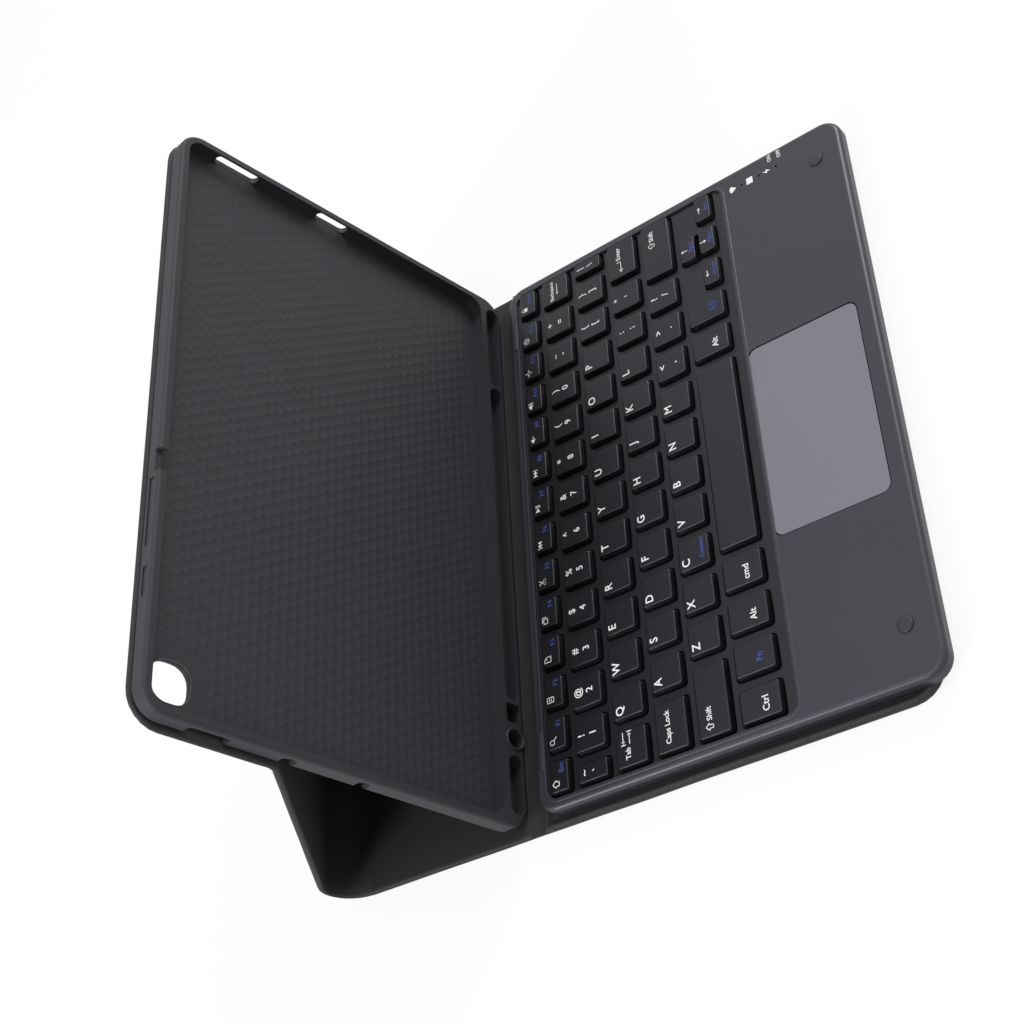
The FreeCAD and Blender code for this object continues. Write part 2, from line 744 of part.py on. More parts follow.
key_under = number(f"{well_floor} + key_proud - key_height")
window_gap = number("key_clearance")
caps, windows, dome_places = {}, [], []
for index, (name, x, y, width, depth) in enumerate(keys):
    cap = keycap(f"cap_{index}", width, depth)
    cap.Placement.Base = Vector(x + width / 2, y + depth / 2, key_under)
    caps.setdefault(name, []).append(cap)
    windows.append(Part.makeBox(
        width + 2 * window_gap, depth + 2 * window_gap, number("keyboard_thickness"),
        Vector(x - window_gap, y - window_gap, number(inner_floor))))
    dome_places.append((x + width / 2, y + depth / 2))
for name, solids in caps.items():
    place(name, gathered(name + "_set", *solids))

# Key switch stack under the keys: steel plate, membrane and rubber domes
layer_z = inner_floor
for name, thickness, margin in (
        ("key_plate", "key_plate_thickness", "1"),
        ("membrane", "membrane_thickness", "1.5"),
        ("dome_sheet", "dome_sheet_thickness", "1.5")):
    sheet_box = centred_box(
        name + "_sheet", f"well_width - 2 * {margin} * stack_margin",
        f"well_depth - 2 * {margin} * stack_margin",
        thickness, "0", well_middle, layer_z)
    layer_z = f"({layer_z} + {thickness})"
    if name != "dome_sheet":
        place(name, sheet_box)
dome_height = f"{well_floor} + key_proud - key_height - key_travel - dome_clearance - {layer_z}"
domes = []
for index, (x, y) in enumerate(dome_places):
    dome = doc.addObject("Part::Wedge", f"dome_{index}")
    for axis in "XZ":
        bind(dome, {f"{axis}min": "-dome_diameter / 2", f"{axis}max": "dome_diameter / 2",
                    f"{axis}2min": "-dome_top_diameter / 2", f"{axis}2max": "dome_top_diameter / 2"})
    bind(dome, {"Ymin": "0", "Ymax": dome_height})
    dome.Placement = FreeCAD.Placement(
        Vector(x, y, number(layer_z)), FreeCAD.Rotation(Vector(1, 0, 0), 90))
    domes.append(dome)
place("dome_sheet", fused("dome_sheet_whole", sheet_box, *domes))
cable_z = f"({inner_floor} + key_plate_thickness + (membrane_thickness - cable_thickness) / 2)"
membrane_front = f"({well_middle} - well_depth / 2 + 1.5 * stack_margin)"
place("ribbon_cable", box("ribbon", "cable_width", "cable_length", "cable_thickness",
                          "cable_side - cable_width / 2", f"{membrane_front} - cable_length", cable_z))

# Touchpad: a plate and its board tip together about their rear edge on to a click switch
pad_y = f"({case_front} + touchpad_front + touchpad_depth / 2)"
plate_z = f"({case_top} - touchpad_sink - touchpad_thickness)"
pad_board_z = f"({plate_z} - touchpad_board_thickness)"
touch_plate = centred_box("touch_plate", "touchpad_width", "touchpad_depth", "touchpad_thickness",
                          "touchpad_offset", pad_y, plate_z)
place("touchpad_plate", rounded(touch_plate, "touchpad_radius"))
place("touchpad_board", centred_box(
    "touch_board", "touchpad_width - 2 * touchpad_board_inset", "touchpad_depth - 2 * touchpad_board_inset",
    "touchpad_board_thickness", "touchpad_offset", pad_y, pad_board_z))
place("touchpad_bracket", centred_box(
    "touch_bracket", "touchpad_width - 2 * touchpad_board_inset", "touchpad_bracket_depth",
    f"{pad_board_z} - touchpad_running_gap - {inner_floor}", "touchpad_offset",
    f"{pad_y} + touchpad_depth / 2 - touchpad_board_inset - touchpad_bracket_depth / 2", inner_floor))
place("touchpad_switch", centred_box(
    "click_switch", "click_switch_width", "click_switch_width",
    f"{pad_board_z} - touchpad_running_gap - touchpad_travel - {inner_floor}", "touchpad_offset",
    f"{pad_y} - touchpad_depth / 2 + touchpad_board_inset + click_switch_width / 2", inner_floor))
touch_window = rounded(centred_box(
    "touch_window", "touchpad_width + 2 * touchpad_gap", "touchpad_depth + 2 * touchpad_gap",
    "keyboard_thickness", "touchpad_offset", pad_y, inner_floor), "touchpad_radius + touchpad_gap")

# Rubber bumpers, stop pads and light pipes, each in its seat in the top shell
seats, bumpers, pads = [], [], []
for side in ("-1", "1"):
    spot = (f"bumper_offset + {side} * bumper_spacing / 2", f"{case_front} + bumper_front",
            f"{case_top} - bumper_seat")
    stem = post(f"bumper_stem_{side}", "bumper_diameter", "bumper_seat + bumper_edge", *spot, sides=16)
    crown = post(f"bumper_crown_{side}", "bumper_diameter - bumper_taper", "bumper_height - bumper_edge",
                 *spot[:2], f"{case_top} + bumper_edge", sides=16)
    bumpers.append(fused(f"bumper_{side}", stem, crown))
    seats.append(post(f"bumper_hole_{side}", "bumper_diameter", "bumper_height", *spot, sides=16))
    spot = (f"{side} * pad_spacing / 2", f"{case_rear} - rim_radius - pad_width / 2",
            f"{case_top} - pad_seat")
    for kind, height, group in (("pad", "pad_seat + pad_proud", pads), ("seat", "2 * pad_seat", seats)):
        group.append(centred_box(f"stop_{kind}_{side}", "pad_length", "pad_width", height, *spot))
place("palm_bumpers", gathered("bumper_pair", *bumpers))
place("rear_stop_pads", gathered("stop_pad_pair", *pads))
pipes = []
for index in range(3):
    spot = ("pipe_side", f"{case_front} + pipe_front + {index} * pipe_pitch", board_top)
    pipes.append(post(f"pipe_{index}", "pipe_diameter", f"{case_top} - {board_top}", *spot))
    seats.append(post(f"pipe_hole_{index}", "pipe_diameter", "keyboard_thickness", *spot))
place("light_pipes", gathered("light_pipe_set", *pipes))

key_windows = doc.addObject("Part::Feature", "key_windows")
key_windows.Shape = Part.makeCompound(windows)
top_case = cut("top_case_cut", fused("top_case_whole", top_shell, *bosses), key_windows, touch_window,
               switch_slot, port_window("top_port_window"), *boss_holes, *seats)
place("top_case", top_case)

# Tablet tray, moulded in one piece: drawn lying on its back, foot towards -Y
tray_shell = doc.addObject("PartDesign::Body", "tray_shell")
tray_middle = f"{tray_height} / 2"
pad(tray_shell, rounded_sketch(tray_shell, "tray_outline", tray_width, tray_height, "tray_corner_radius",
                               "0", tray_middle), tray_depth)
ease_edges(tray_shell, "tray_back_edge", "tray_back_chamfer", lies_at(0.0), "Chamfer")
ease_edges(tray_shell, "tray_front_edge", "tray_lip_radius", lies_at(number(tray_depth)))
tablet_middle = f"({pocket_bottom} + {pocket_height} / 2)"
pocket(tray_shell, rounded_sketch(
    tray_shell, "tray_mouth", f"{pocket_width} - 2 * lip_overhang", f"{pocket_height} - 2 * lip_overhang",
    "tablet_radius - lip_overhang", "0", tablet_middle, tray_depth), "lip_thickness")
pocket(tray_shell, rounded_sketch(
    tray_shell, "tray_cavity", pocket_width, pocket_height, "tablet_radius", "0", tablet_middle,
    f"{tray_depth} - lip_thickness"), f"{tray_depth} - lip_thickness - tray_floor")
pen_y = "(pen_outer_wall + pen_channel_width / 2)"
pen_runs = [
    ("pen_slot_left", "pen_end_margin", "pen_ring_left - pen_bar", "pen_end_radius"),
    ("pen_window", "pen_window_left", "pen_window_right", "pen_window_radius"),
    ("pen_slot_long", "pen_window_right + pen_bar", "pen_slot_right - pen_bar", "pen_end_radius"),
    ("pen_slot_end", "pen_slot_right", f"{tray_width} - pen_end_margin", "pen_end_radius"),
]
for name, start, end, radius in pen_runs:
    pocket(tray_shell, rounded_sketch(
        tray_shell, name, f"({end}) - ({start})", "pen_channel_width", radius,
        f"(({start}) + ({end}) - {tray_width}) / 2", pen_y, tray_depth), f"{tray_depth} - pen_channel_floor")
ring_hole = cylinder("pen_ring_hole", "pen_channel_width", tray_depth,
                     f"(pen_ring_left + pen_window_left - pen_bar) / 2 - {tray_width} / 2", pen_y,
                     "pen_channel_floor")
lens_hole = rounded(centred_box(
    "lens_hole", "camera_hole", "camera_hole", "3 * tray_floor", f"camera_side - {tray_width} / 2",
    "camera_height", "-tray_floor"), "camera_radius")


# Slots of the right wall start at the floor; those of the left wall are open at the back
right_slot = ("1", "slot_height", "slot_lift", "slot_height / 2 - 0.01")
left_slot = ("-1", "left_slot_height", "left_slot_lift", "left_slot_radius")


def wall_slot(name, low, length, side, height, lift, radius):
    """A rounded slot through a side wall of the tray."""
    return pill_along_x(name, "2 * tray_side_wall", length, height, radius,
                        f"{side} * {tray_width} / 2 - tray_side_wall", f"{low} + ({length}) / 2",
                        f"tray_floor + {lift}")


def button_groove(name, left, length):
    """A shallow pill in the top wall round a key that is pressed through it."""
    return box(name, length, "2 * button_groove", "button_height", f"{left} - {tray_width} / 2",
               f"{tray_height} - button_groove", f"({tray_depth} - button_height) / 2")


notch = box("top_notch", "notch_length", "2 * tray_top_wall", "2 * notch_depth",
            f"notch_left - {tray_width} / 2", f"{tray_height} - 1.5 * tray_top_wall",
            f"{tray_depth} - notch_depth")
tray = cut(
    "tray_cut", tray_shell, ring_hole, lens_hole, notch,
    wall_slot("speaker_slot_right", "speaker_low", "speaker_length", *right_slot),
    wall_slot("speaker_slot_left", "left_speaker_low", "left_speaker_length", *left_slot),
    wall_slot("usb_slot", "usb_low", "usb_length", *right_slot),
    wall_slot("jack_slot", "jack_low", "jack_length", *left_slot),
    wall_slot("mic_slot", "mic_low", "mic_length", *left_slot),
    button_groove("volume_groove", "volume_left", "volume_length"),
    button_groove("power_groove", "power_left", "power_length"))
place("tablet_tray", tray, tray_heel, number("tray_lean"))

doc.removeObject(working.Name)
doc.recompute()
for item in doc.Objects:
    if "Invalid" in item.State or "Error" in item.State:
        raise RuntimeError(f"{item.Name} did not build: {item.State}")
for name, item in subparts.items():
    if item.Shape.isNull() or not item.Shape.isValid() or not item.Shape.Solids:
        raise RuntimeError(f"{name} has no valid solid")
os.makedirs("parts", exist_ok=True)
for name, item in subparts.items():
    item.Shape.exportStep(f"parts/{name}.step")
print(len(subparts), "sub-parts written")
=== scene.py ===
import bmesh
import bpy
import json
import math
from mathutils import Matrix, Vector, noise


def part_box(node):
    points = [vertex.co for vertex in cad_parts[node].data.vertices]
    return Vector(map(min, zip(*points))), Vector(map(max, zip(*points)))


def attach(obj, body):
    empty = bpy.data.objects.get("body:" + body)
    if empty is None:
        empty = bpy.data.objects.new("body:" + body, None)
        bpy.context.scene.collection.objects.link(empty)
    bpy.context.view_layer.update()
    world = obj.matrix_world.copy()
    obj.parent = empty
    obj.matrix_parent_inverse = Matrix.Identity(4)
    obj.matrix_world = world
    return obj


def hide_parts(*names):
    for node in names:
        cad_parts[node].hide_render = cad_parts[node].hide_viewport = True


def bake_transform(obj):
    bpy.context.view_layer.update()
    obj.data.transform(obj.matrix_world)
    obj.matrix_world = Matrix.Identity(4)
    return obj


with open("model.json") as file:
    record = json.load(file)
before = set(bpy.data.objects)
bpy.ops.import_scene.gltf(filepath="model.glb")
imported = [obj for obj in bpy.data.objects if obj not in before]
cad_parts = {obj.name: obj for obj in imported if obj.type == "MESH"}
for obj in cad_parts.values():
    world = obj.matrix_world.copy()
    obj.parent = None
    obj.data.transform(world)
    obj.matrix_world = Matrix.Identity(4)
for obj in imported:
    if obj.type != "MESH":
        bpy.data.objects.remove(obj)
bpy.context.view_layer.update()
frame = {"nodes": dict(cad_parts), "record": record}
nodes = frame["nodes"]
record = frame["record"]
slotOf = {part["node"]: part["material_slot"] for part in record["subparts"]}
bodyOf = {node: body for body, members in record["behaviour"]["bodies"].items() for node in members}
mm = 0.001
scene = bpy.context.scene
print("frame loaded:", len(nodes), "nodes")


def linear(hexText):
    # sRGB hex to the linear values that shaders take
    parts = [int(hexText[i:i + 2], 16) / 255 for i in (1, 3, 5)]
    return [c / 12.92 if c <= 0.04045 else ((c + 0.055) / 1.055) ** 2.4 for c in parts] + [1.0]


def perMetre(sizeInMm):
    # texture scale for a pattern whose features are this far apart
    return 1.0 / (sizeInMm * mm)


def feed(tree, node, inputs):
    for name, value in inputs.items():
        socket = node.inputs[name]
        if isinstance(value, bpy.types.NodeSocket):
            tree.links.new(value, socket)
        else:
            socket.default_value = value


def addNode(tree, kind, settings=None, inputs=None):
    node = tree.nodes.new(kind)
    for name, value in (settings or {}).items():
        setattr(node, name, value)
    feed(tree, node, inputs or {})
    return node


def startMaterial(name, **shader):
    material = bpy.data.materials.new(name)
    material.use_nodes = True
    tree = material.node_tree
    bsdf = tree.nodes["Principled BSDF"]
    for socket, value in shader.items():
        bsdf.inputs[socket.replace("_", " ")].default_value = value
    place = addNode(tree, "ShaderNodeTexCoord").outputs["Object"]
    return material, tree, bsdf, place


def mouldedPlastic(name, darkHex, lightHex, low, high, gritInMm, gritDepthInMm, **shader):
    # spark-eroded mould: an even matt grit, with a faint cloudiness from flow and handling
    material, tree, bsdf, place = startMaterial(name, **shader)
    cloud = addNode(tree, "ShaderNodeTexNoise", None,
                    {"Vector": place, "Scale": perMetre(35), "Detail": 3.0})
    grit = addNode(tree, "ShaderNodeTexNoise", None,
                   {"Vector": place, "Scale": perMetre(gritInMm), "Detail": 2.0})
    shade = addNode(tree, "ShaderNodeMix", {"data_type": "RGBA"},
                    {"Factor": cloud.outputs["Fac"], 6: linear(darkHex), 7: linear(lightHex)})
    dull = addNode(tree, "ShaderNodeMapRange", None,
                   {"Value": grit.outputs["Fac"], "To Min": low, "To Max": high})
    bump = addNode(tree, "ShaderNodeBump", None,
                   {"Height": grit.outputs["Fac"], "Distance": gritDepthInMm * mm})
    feed(tree, bsdf, {"Base Color": shade.outputs[2], "Roughness": dull.outputs[0], "Normal": bump.outputs[0]})
    return material


def embossedLeather(name, darkHex, lightHex, grainInMm, grainDepthInMm):
    # PU leather: rolled pebble grain whose tops shine a little, dull in the creases
    material, tree, bsdf, place = startMaterial(name, IOR=1.5, Specular_IOR_Level=0.3)
    drift = addNode(tree, "ShaderNodeTexNoise", None,
                    {"Vector": place, "Scale": perMetre(6), "Detail": 2.0})
    pebble = addNode(tree, "ShaderNodeTexVoronoi", {"feature": "SMOOTH_F1"},
                     {"Vector": place, "Scale": perMetre(grainInMm), "Smoothness": 0.5})
    wear = addNode(tree, "ShaderNodeTexNoise", None,
                   {"Vector": place, "Scale": perMetre(28), "Detail": 4.0})
    shade = addNode(tree, "ShaderNodeMix", {"data_type": "RGBA"},
                    {"Factor": wear.outputs["Fac"], 6: linear(darkHex), 7: linear(lightHex)})
    dull = addNode(tree, "ShaderNodeMapRange", None,
                   {"Value": pebble.outputs["Distance"], "To Min": 0.5, "To Max": 0.75})
    height = addNode(tree, "ShaderNodeMath", {"operation": "MULTIPLY_ADD"},
                     {0: drift.outputs["Fac"], 1: 0.6, 2: pebble.outputs["Distance"]})
    bump = addNode(tree, "ShaderNodeBump", None,
                   {"Height": height.outputs[0], "Distance": -grainDepthInMm * mm})
    feed(tree, bsdf, {"Base Color": shade.outputs[2], "Roughness": dull.outputs[0], "Normal": bump.outputs[0]})
    return material


def speckled(name, darkHex, lightHex, sizeInMm, low, high, depthInMm, **shader):
    # plain stock with the fine unevenness of its making
    material, tree, bsdf, place = startMaterial(name, **shader)
    fleck = addNode(tree, "ShaderNodeTexNoise", None,
                    {"Vector": place, "Scale": perMetre(sizeInMm), "Detail": 3.0})
    shade = addNode(tree, "ShaderNodeMix", {"data_type": "RGBA"},
                    {"Factor": fleck.outputs["Fac"], 6: linear(darkHex), 7: linear(lightHex)})
    dull = addNode(tree, "ShaderNodeMapRange", None,
                   {"Value": fleck.outputs["Fac"], "To Min": low, "To Max": high})
    bump = addNode(tree, "ShaderNodeBump", None,
                   {"Height": fleck.outputs["Fac"], "Distance": depthInMm * mm})
    feed(tree, bsdf, {"Base Color": shade.outputs[2], "Roughness": dull.outputs[0], "Normal": bump.outputs[0]})
    return material


def rolledSteel(name, darkHex, lightHex):
    # cold-rolled stainless sheet: fine lines along X stretch the highlight
    material, tree, bsdf, place = startMaterial(name, Metallic=1.0)
    lines = addNode(tree, "ShaderNodeMapping", None,
                    {"Vector": place, "Scale": (perMetre(20), perMetre(0.2), perMetre(0.2))})
    grain = addNode(tree, "ShaderNodeTexNoise", None,
                    {"Vector": lines.outputs[0], "Scale": 1.0, "Detail": 2.0})
    shade = addNode(tree, "ShaderNodeMix", {"data_type": "RGBA"},
                    {"Factor": grain.outputs["Fac"], 6: linear(darkHex), 7: linear(lightHex)})
    dull = addNode(tree, "ShaderNodeMapRange", None,
                   {"Value": grain.outputs["Fac"], "To Min": 0.28, "To Max": 0.42})
    feed(tree, bsdf, {"Base Color": shade.outputs[2], "Roughness": dull.outputs[0]})
    return material


finish = {
    # ABS shells, fine matt texture that takes a broad soft sheen; the grit is drawn coarser to show
    "case_abs": mouldedPlastic("absCaseMoulded", "#28282d", "#2d2d32", 0.34, 0.42, 0.35, 0.01,
                               IOR=1.53, Specular_IOR_Level=0.45, Specular_Tint=linear("#f0f0ff")),
    # ABS caps, almost black: what shows is a soft sheen, so their sides stay dark; on the key web plate this
    # near-black is painted shade
    "keycap_abs": mouldedPlastic("absKeycapAndPaintedShade", "#0a0a0d", "#0f0f12", 0.32, 0.4, 0.3, 0.006,
                                 IOR=1.53, Specular_IOR_Level=0.4, Specular_Tint=linear("#f0f0ff")),
    # thermoplastic polyurethane, soft touch: dull, slightly blue grey
    "tray_tpu": mouldedPlastic("tpuTrayMoulded", "#2c2d31", "#313236", 0.52, 0.64, 0.4, 0.012,
                               IOR=1.5, Specular_IOR_Level=0.3),
    # polyurethane leather, rolled grain: a soft dark grey with small lights on the pebbles
    "cover_skin": embossedLeather("puLeatherSkin", "#232325", "#2b2b2d", 0.9, 0.05),
    "fold_leather": embossedLeather("puLeatherFold", "#232325", "#2b2b2d", 0.9, 0.05),
    # brushed microfibre lining, almost black and without shine; on the front fold strip this near-black is painted
    # shade for the valley behind the keyboard
    "cover_lining": speckled("microfibreLiningAndPaintedShade", "#101011", "#171718", 0.5, 0.85, 0.95, 0.03,
                             Sheen_Weight=0.03, Sheen_Roughness=0.6),
    # pressed paper board, pale fibres at the cut edges
    "stiffener": speckled("greyBoardPressed", "#6d675e", "#857e73", 0.8, 0.85, 0.95, 0.02),
    # stainless sheet, cold rolled: bright, drawn out along its lines
    "steel": rolledSteel("stainlessSteelRolled", "#8d9092", "#b4b7b9"),
    # polyester film with printed tracks, satin
    "membrane_film": speckled("polyesterFilm", "#50535a", "#5c6067", 3.0, 0.25, 0.35, 0.004, IOR=1.6),
    # silicone rubber, dull and slightly dusty
    "rubber": speckled("siliconeRubber", "#242429", "#2b2b30", 0.6, 0.45, 0.6, 0.01, IOR=1.43),
    # glass-fibre board under green solder mask
    "board": speckled("solderMaskBoard", "#17381f", "#1f4a2a", 0.7, 0.3, 0.42, 0.006, IOR=1.55),
    # aluminium laminate pouch, wrinkled foil
    "battery_pouch": speckled("laminatePouch", "#a7a9ab", "#c1c3c5", 6.0, 0.28, 0.4, 0.08, Metallic=0.8),
    # glass-filled nylon, black
    "switch_plastic": mouldedPlastic("nylonSwitchMoulded", "#161617", "#1d1d1e", 0.4, 0.5, 0.3, 0.01, IOR=1.53),
    # smoked acrylic rod, polished end
    "light_pipe": speckled("acrylicPipe", "#040405", "#080809", 1.0, 0.12, 0.2, 0.002, IOR=1.49,
                           Specular_IOR_Level=0.1),
    # coated polyester over glass: silky, pale grey, its texture too fine to see
    "touchpad_sheet": speckled("coatedTouchSheet", "#6c6c74", "#6f6f77", 0.3, 0.36, 0.42, 0.003, IOR=1.52),
    # screen-printed inks, slightly raised and uneven
    "whiteInk": speckled("printedInkWhite", "#dcdcdc", "#f0f0f0", 0.4, 0.5, 0.6, 0.004, IOR=1.5),
    "blueInk": speckled("printedInkBlue", "#2d3c86", "#384896", 0.4, 0.5, 0.6, 0.004, IOR=1.5),
}
for name, node in nodes.items():
    node.data.materials.clear()
    node.data.materials.append(finish[slotOf[name]])
print("materials:", len(finish))


def dress(name, bm, material, body, slot, *replaced, angle=35):
    # a finished mesh becomes a piece that rides on its body
    mesh = bpy.data.meshes.new(name)
    bm.normal_update()
    bm.to_mesh(mesh)
    bm.free()
    mesh.materials.append(finish[material])
    mesh.shade_smooth()
    mesh.set_sharp_from_angle(angle=math.radians(angle))
    piece = bpy.data.objects.new(name, mesh)
    scene.collection.objects.link(piece)
    if body:
        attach(piece, body)
    if replaced:
        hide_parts(*replaced)
    return piece


def roundedOutline(x0, x1, y0, y1, radii, steps=6):
    # corner radii run from the front right corner round to the front left one
    points = []
    corners = ((x1, y0, 1, -1, -90), (x1, y1, 1, 1, 0), (x0, y1, -1, 1, 90), (x0, y0, -1, -1, 180))
    for (x, y, sx, sy, start), radius in zip(corners, radii):
        for step in range(steps + 1):
            a = math.radians(start + 90 * step / steps)
            points.append(Vector((x - sx * radius + radius * math.cos(a),
                                  y - sy * radius + radius * math.sin(a))))
    return points


def inset(outline, amount, sharpest=0.3):
    # each point moves in along the middle of its two edges, but not without end at a sharp corner
    moved = []
    count = len(outline)
    for i, point in enumerate(outline):
        before = (point - outline[i - 1]).normalized()
        after = (outline[(i + 1) % count] - point).normalized()
        along = (before + after).normalized()
        inward = Vector((-along.y, along.x))
        moved.append(point + inward * amount / max(sharpest, inward.dot(Vector((-before.y, before.x)))))
    if amount > 0:
        # a corner tighter than the inset ends in one point instead of crossing itself
        low = Vector((min(p.x for p in outline) + amount, min(p.y for p in outline) + amount))
        high = Vector((max(p.x for p in outline) - amount, max(p.y for p in outline) - amount))
        moved = [Vector((min(max(p.x, low.x), high.x), min(max(p.y, low.y), high.y))) for p in moved]
    return moved


def subdivided(outline, stepInMm):
    # adds points along straight runs, so that an edge can wander
    points = []
    for i, point in enumerate(outline):
        following = outline[(i + 1) % len(outline)]
        parts = max(1, round((following - point).length / (stepInMm * mm)))
        points += [point.lerp(following, k / parts) for k in range(parts)]
    return points


def bridge(bm, lower, upper):
    # faces between two loops of equal count
    count = len(lower)
    for i in range(count):
        j = (i + 1) % count
        bm.faces.new((lower[i], lower[j], upper[j], upper[i]))


def addSlab(bm, outline, rings, sway=None):
    # stacks inset copies of one outline and closes both ends; rings are (inset, height) in mm
    layers = []
    for amount, z in rings:
        points = [Vector((p.x, p.y, z * mm)) for p in inset(outline, amount * mm)]
        layers.append([bm.verts.new(p + sway(p) if sway else p) for p in points])
    for lower, upper in zip(layers, layers[1:]):
        bridge(bm, lower, upper)
    bm.faces.new(list(reversed(layers[0])))
    bm.faces.new(layers[-1])
    return layers


def addLathe(bm, centre, profile, segments):
    # turns a (radius, height) profile in mm about Z and closes both ends
    rings = []
    for radius, z in profile:
        rings.append([bm.verts.new(centre + Vector((
            math.cos(2 * math.pi * k / segments) * radius, math.sin(2 * math.pi * k / segments) * radius, z)) * mm)
            for k in range(segments)])
    for lower, upper in zip(rings, rings[1:]):
        bridge(bm, lower, upper)
    bm.faces.new(list(reversed(rings[0])))
    bm.faces.new(rings[-1])


def addBead(bm, outline, section):
    # runs a closed (inset, height) section in mm along a closed outline
    loops = [[bm.verts.new((p.x, p.y, z * mm)) for p in inset(outline, amount * mm)] for amount, z in section]
    for lower, upper in zip(loops, loops[1:] + loops[:1]):
        bridge(bm, lower, upper)


def flatFrame(node, facing):
    # axes of a flat piece from its largest face, end faces left out: X stays, Z leaves the face
    mesh = nodes[node].data
    big = max(mesh.polygons, key=lambda p: p.area if abs(p.normal.x) < 0.1 else 0)
    z = big.normal.copy()
    if z.dot(facing) < 0:
        z.negate()
    x = Vector((1, 0, 0))
    axes = Matrix((x, z.cross(x), z)).transposed()
    inside = [axes.transposed() @ v.co for v in mesh.vertices]
    low = Vector(min(p[i] for p in inside) for i in range(3))
    high = Vector(max(p[i] for p in inside) for i in range(3))
    return axes.to_4x4(), low, high


# leather panels: a skin turned over a board, so the edges are round and slightly uneven
cover = {"wave": 0.14, "waveLength": 22.0, "liftLayer": 3.0, "sideLayer": 9.0, "sideShare": (1.0, 0.5),
         "liftShare": 0.4, "outlineStep": 6.0,
         "frontCorner": 13.0, "backCorner": 13.0, "squareCorner": 0.6, "edge": 1.2, "holeEdge": 0.6,
         "flats": (0.8, 1.2), "weld": 0.02,
         # soft welt round the keyboard, as (inset, height) from the outside in
         "welt": ((1.3, 0.0), (0.45, 0.3), (0.05, 1.0), (0.0, 1.8), (0.2, 2.7), (0.7, 3.4), (1.4, 3.7),
                  (2.1, 3.5), (2.7, 3.0), (3.4, 2.55), (5.0, 2.5)),
         "bendThickness": 2.2, "tuck": 1.2, "bendSteps": 14, "bendColumns": 40, "bendWave": 2.0,
         "bendRound": (0.8, 1.57, 2.34)}


def leatherSway(point):
    # how far the leather wanders here from its true shape
    spot = point / (cover["waveLength"] * mm)
    lift = noise.noise(Vector((spot.x, spot.y, cover["liftLayer"])))
    side = noise.noise(Vector((spot.x, spot.y, cover["sideLayer"])))
    along, across = cover["sideShare"]
    return Vector((side * along, side * across, lift * cover["liftShare"])) * cover["wave"] * mm


def softEdge(low, high, radius, steps=3):
    # rings of a fully rounded edge: how far in, and at which height
    quarter = [math.pi / 2 * step / steps for step in range(steps + 1)]
    return ([(radius * (1 - math.sin(a)), low + radius * (1 - math.cos(a))) for a in quarter]
            + [(radius * (1 - math.cos(a)), high - radius * (1 - math.sin(a))) for a in quarter])


def withFlats(rings):
    # two more rings at each end, level with it, so that a wide flat face shades evenly
    first, last = rings[0], rings[-1]
    return ([(first[0] + gap, first[1]) for gap in reversed(cover["flats"])] + list(rings)
            + [(last[0] + gap, last[1]) for gap in cover["flats"]])


def leatherPanel(name, stem, facing, radii, rings=None, hole=None):
    axes, low, high = flatFrame(stem + "_skin", facing)
    outline = subdivided(roundedOutline(low.x, high.x, low.y, high.y, [r * mm for r in radii]),
                         cover["outlineStep"])
    bm = bmesh.new()
    rings = withFlats(rings or softEdge(low.z / mm, high.z / mm, cover["edge"]))
    layers = addSlab(bm, outline, rings, leatherSway)
    levels = list(zip(layers, (z for amount, z in rings)))
    for layer, z in levels[:2] + levels[-2:]:
        for vert in layer:
            vert.co.z = z * mm
    if hole:
        # the camera's way goes through the panel, with a rolled edge
        way = hole(axes.inverted())
        bmesh.ops.delete(bm, geom=[f for f in bm.faces if len(f.verts) > 4], context="FACES_ONLY")
        walls = []
        for amount, z in withFlats(softEdge(low.z / mm, high.z / mm, cover["holeEdge"], 2)):
            walls.append([bm.verts.new((p.x, p.y, z * mm)) for p in inset(way, -amount * mm)])
        for lower, upper in zip(walls, walls[1:]):
            bridge(bm, list(reversed(lower)), list(reversed(upper)))
    bmesh.ops.remove_doubles(bm, verts=bm.verts, dist=cover["weld"] * mm)
    if hole:
        middle = (low.z + high.z) / 2
        for outside in (False, True):
            ring = [e for e in bm.edges if e.is_boundary and (e.verts[0].co.z > middle) == outside]
            bmesh.ops.triangle_fill(bm, use_beauty=True, edges=ring)
        bmesh.ops.recalc_face_normals(bm, faces=bm.faces)
    bm.transform(axes)
    dress(name, bm, "cover_skin", bodyOf[stem + "_skin"], "cover_skin", stem + "_skin",
          stem + "_board", stem + "_lining", angle=60)
    return axes, low, high


up, back = Vector((0, 0, 1)), Vector((0, 1, 0))
tight = cover["squareCorner"]
square = [tight] * 4
leatherPanel("leatherFrontPanel", "front_panel", up, (cover["frontCorner"], tight, tight, cover["frontCorner"]),
             cover["welt"])
rearHigh = leatherPanel("leatherRearPanel", "rear_panel", up, square)[2]
flapAxes, flapLow, flapHigh = leatherPanel("leatherStandFlap", "stand_flap", back, square)


# the tray's own frame: X to the right, Y up the tray, Z out of its floor towards the user
tray = {"seatUp": 90.0, "floor": 1.0, "front": 7.4}
seat = next(mount for mount in record["mounts"] if mount["name"] == "tablet_seat")
trayZ = Vector(seat["axis"]).normalized()
trayAxes = Matrix((Vector((1, 0, 0)), trayZ.cross(Vector((1, 0, 0))), trayZ)).transposed()
heel = Vector(seat["pos_m"]) - trayAxes @ Vector((0, tray["seatUp"], tray["floor"])) * mm
trayPlace = Matrix.Translation(heel) @ trayAxes.to_4x4()

camera = {"x": -109.05, "y": 153.4, "size": 15.7, "radius": 6.5}


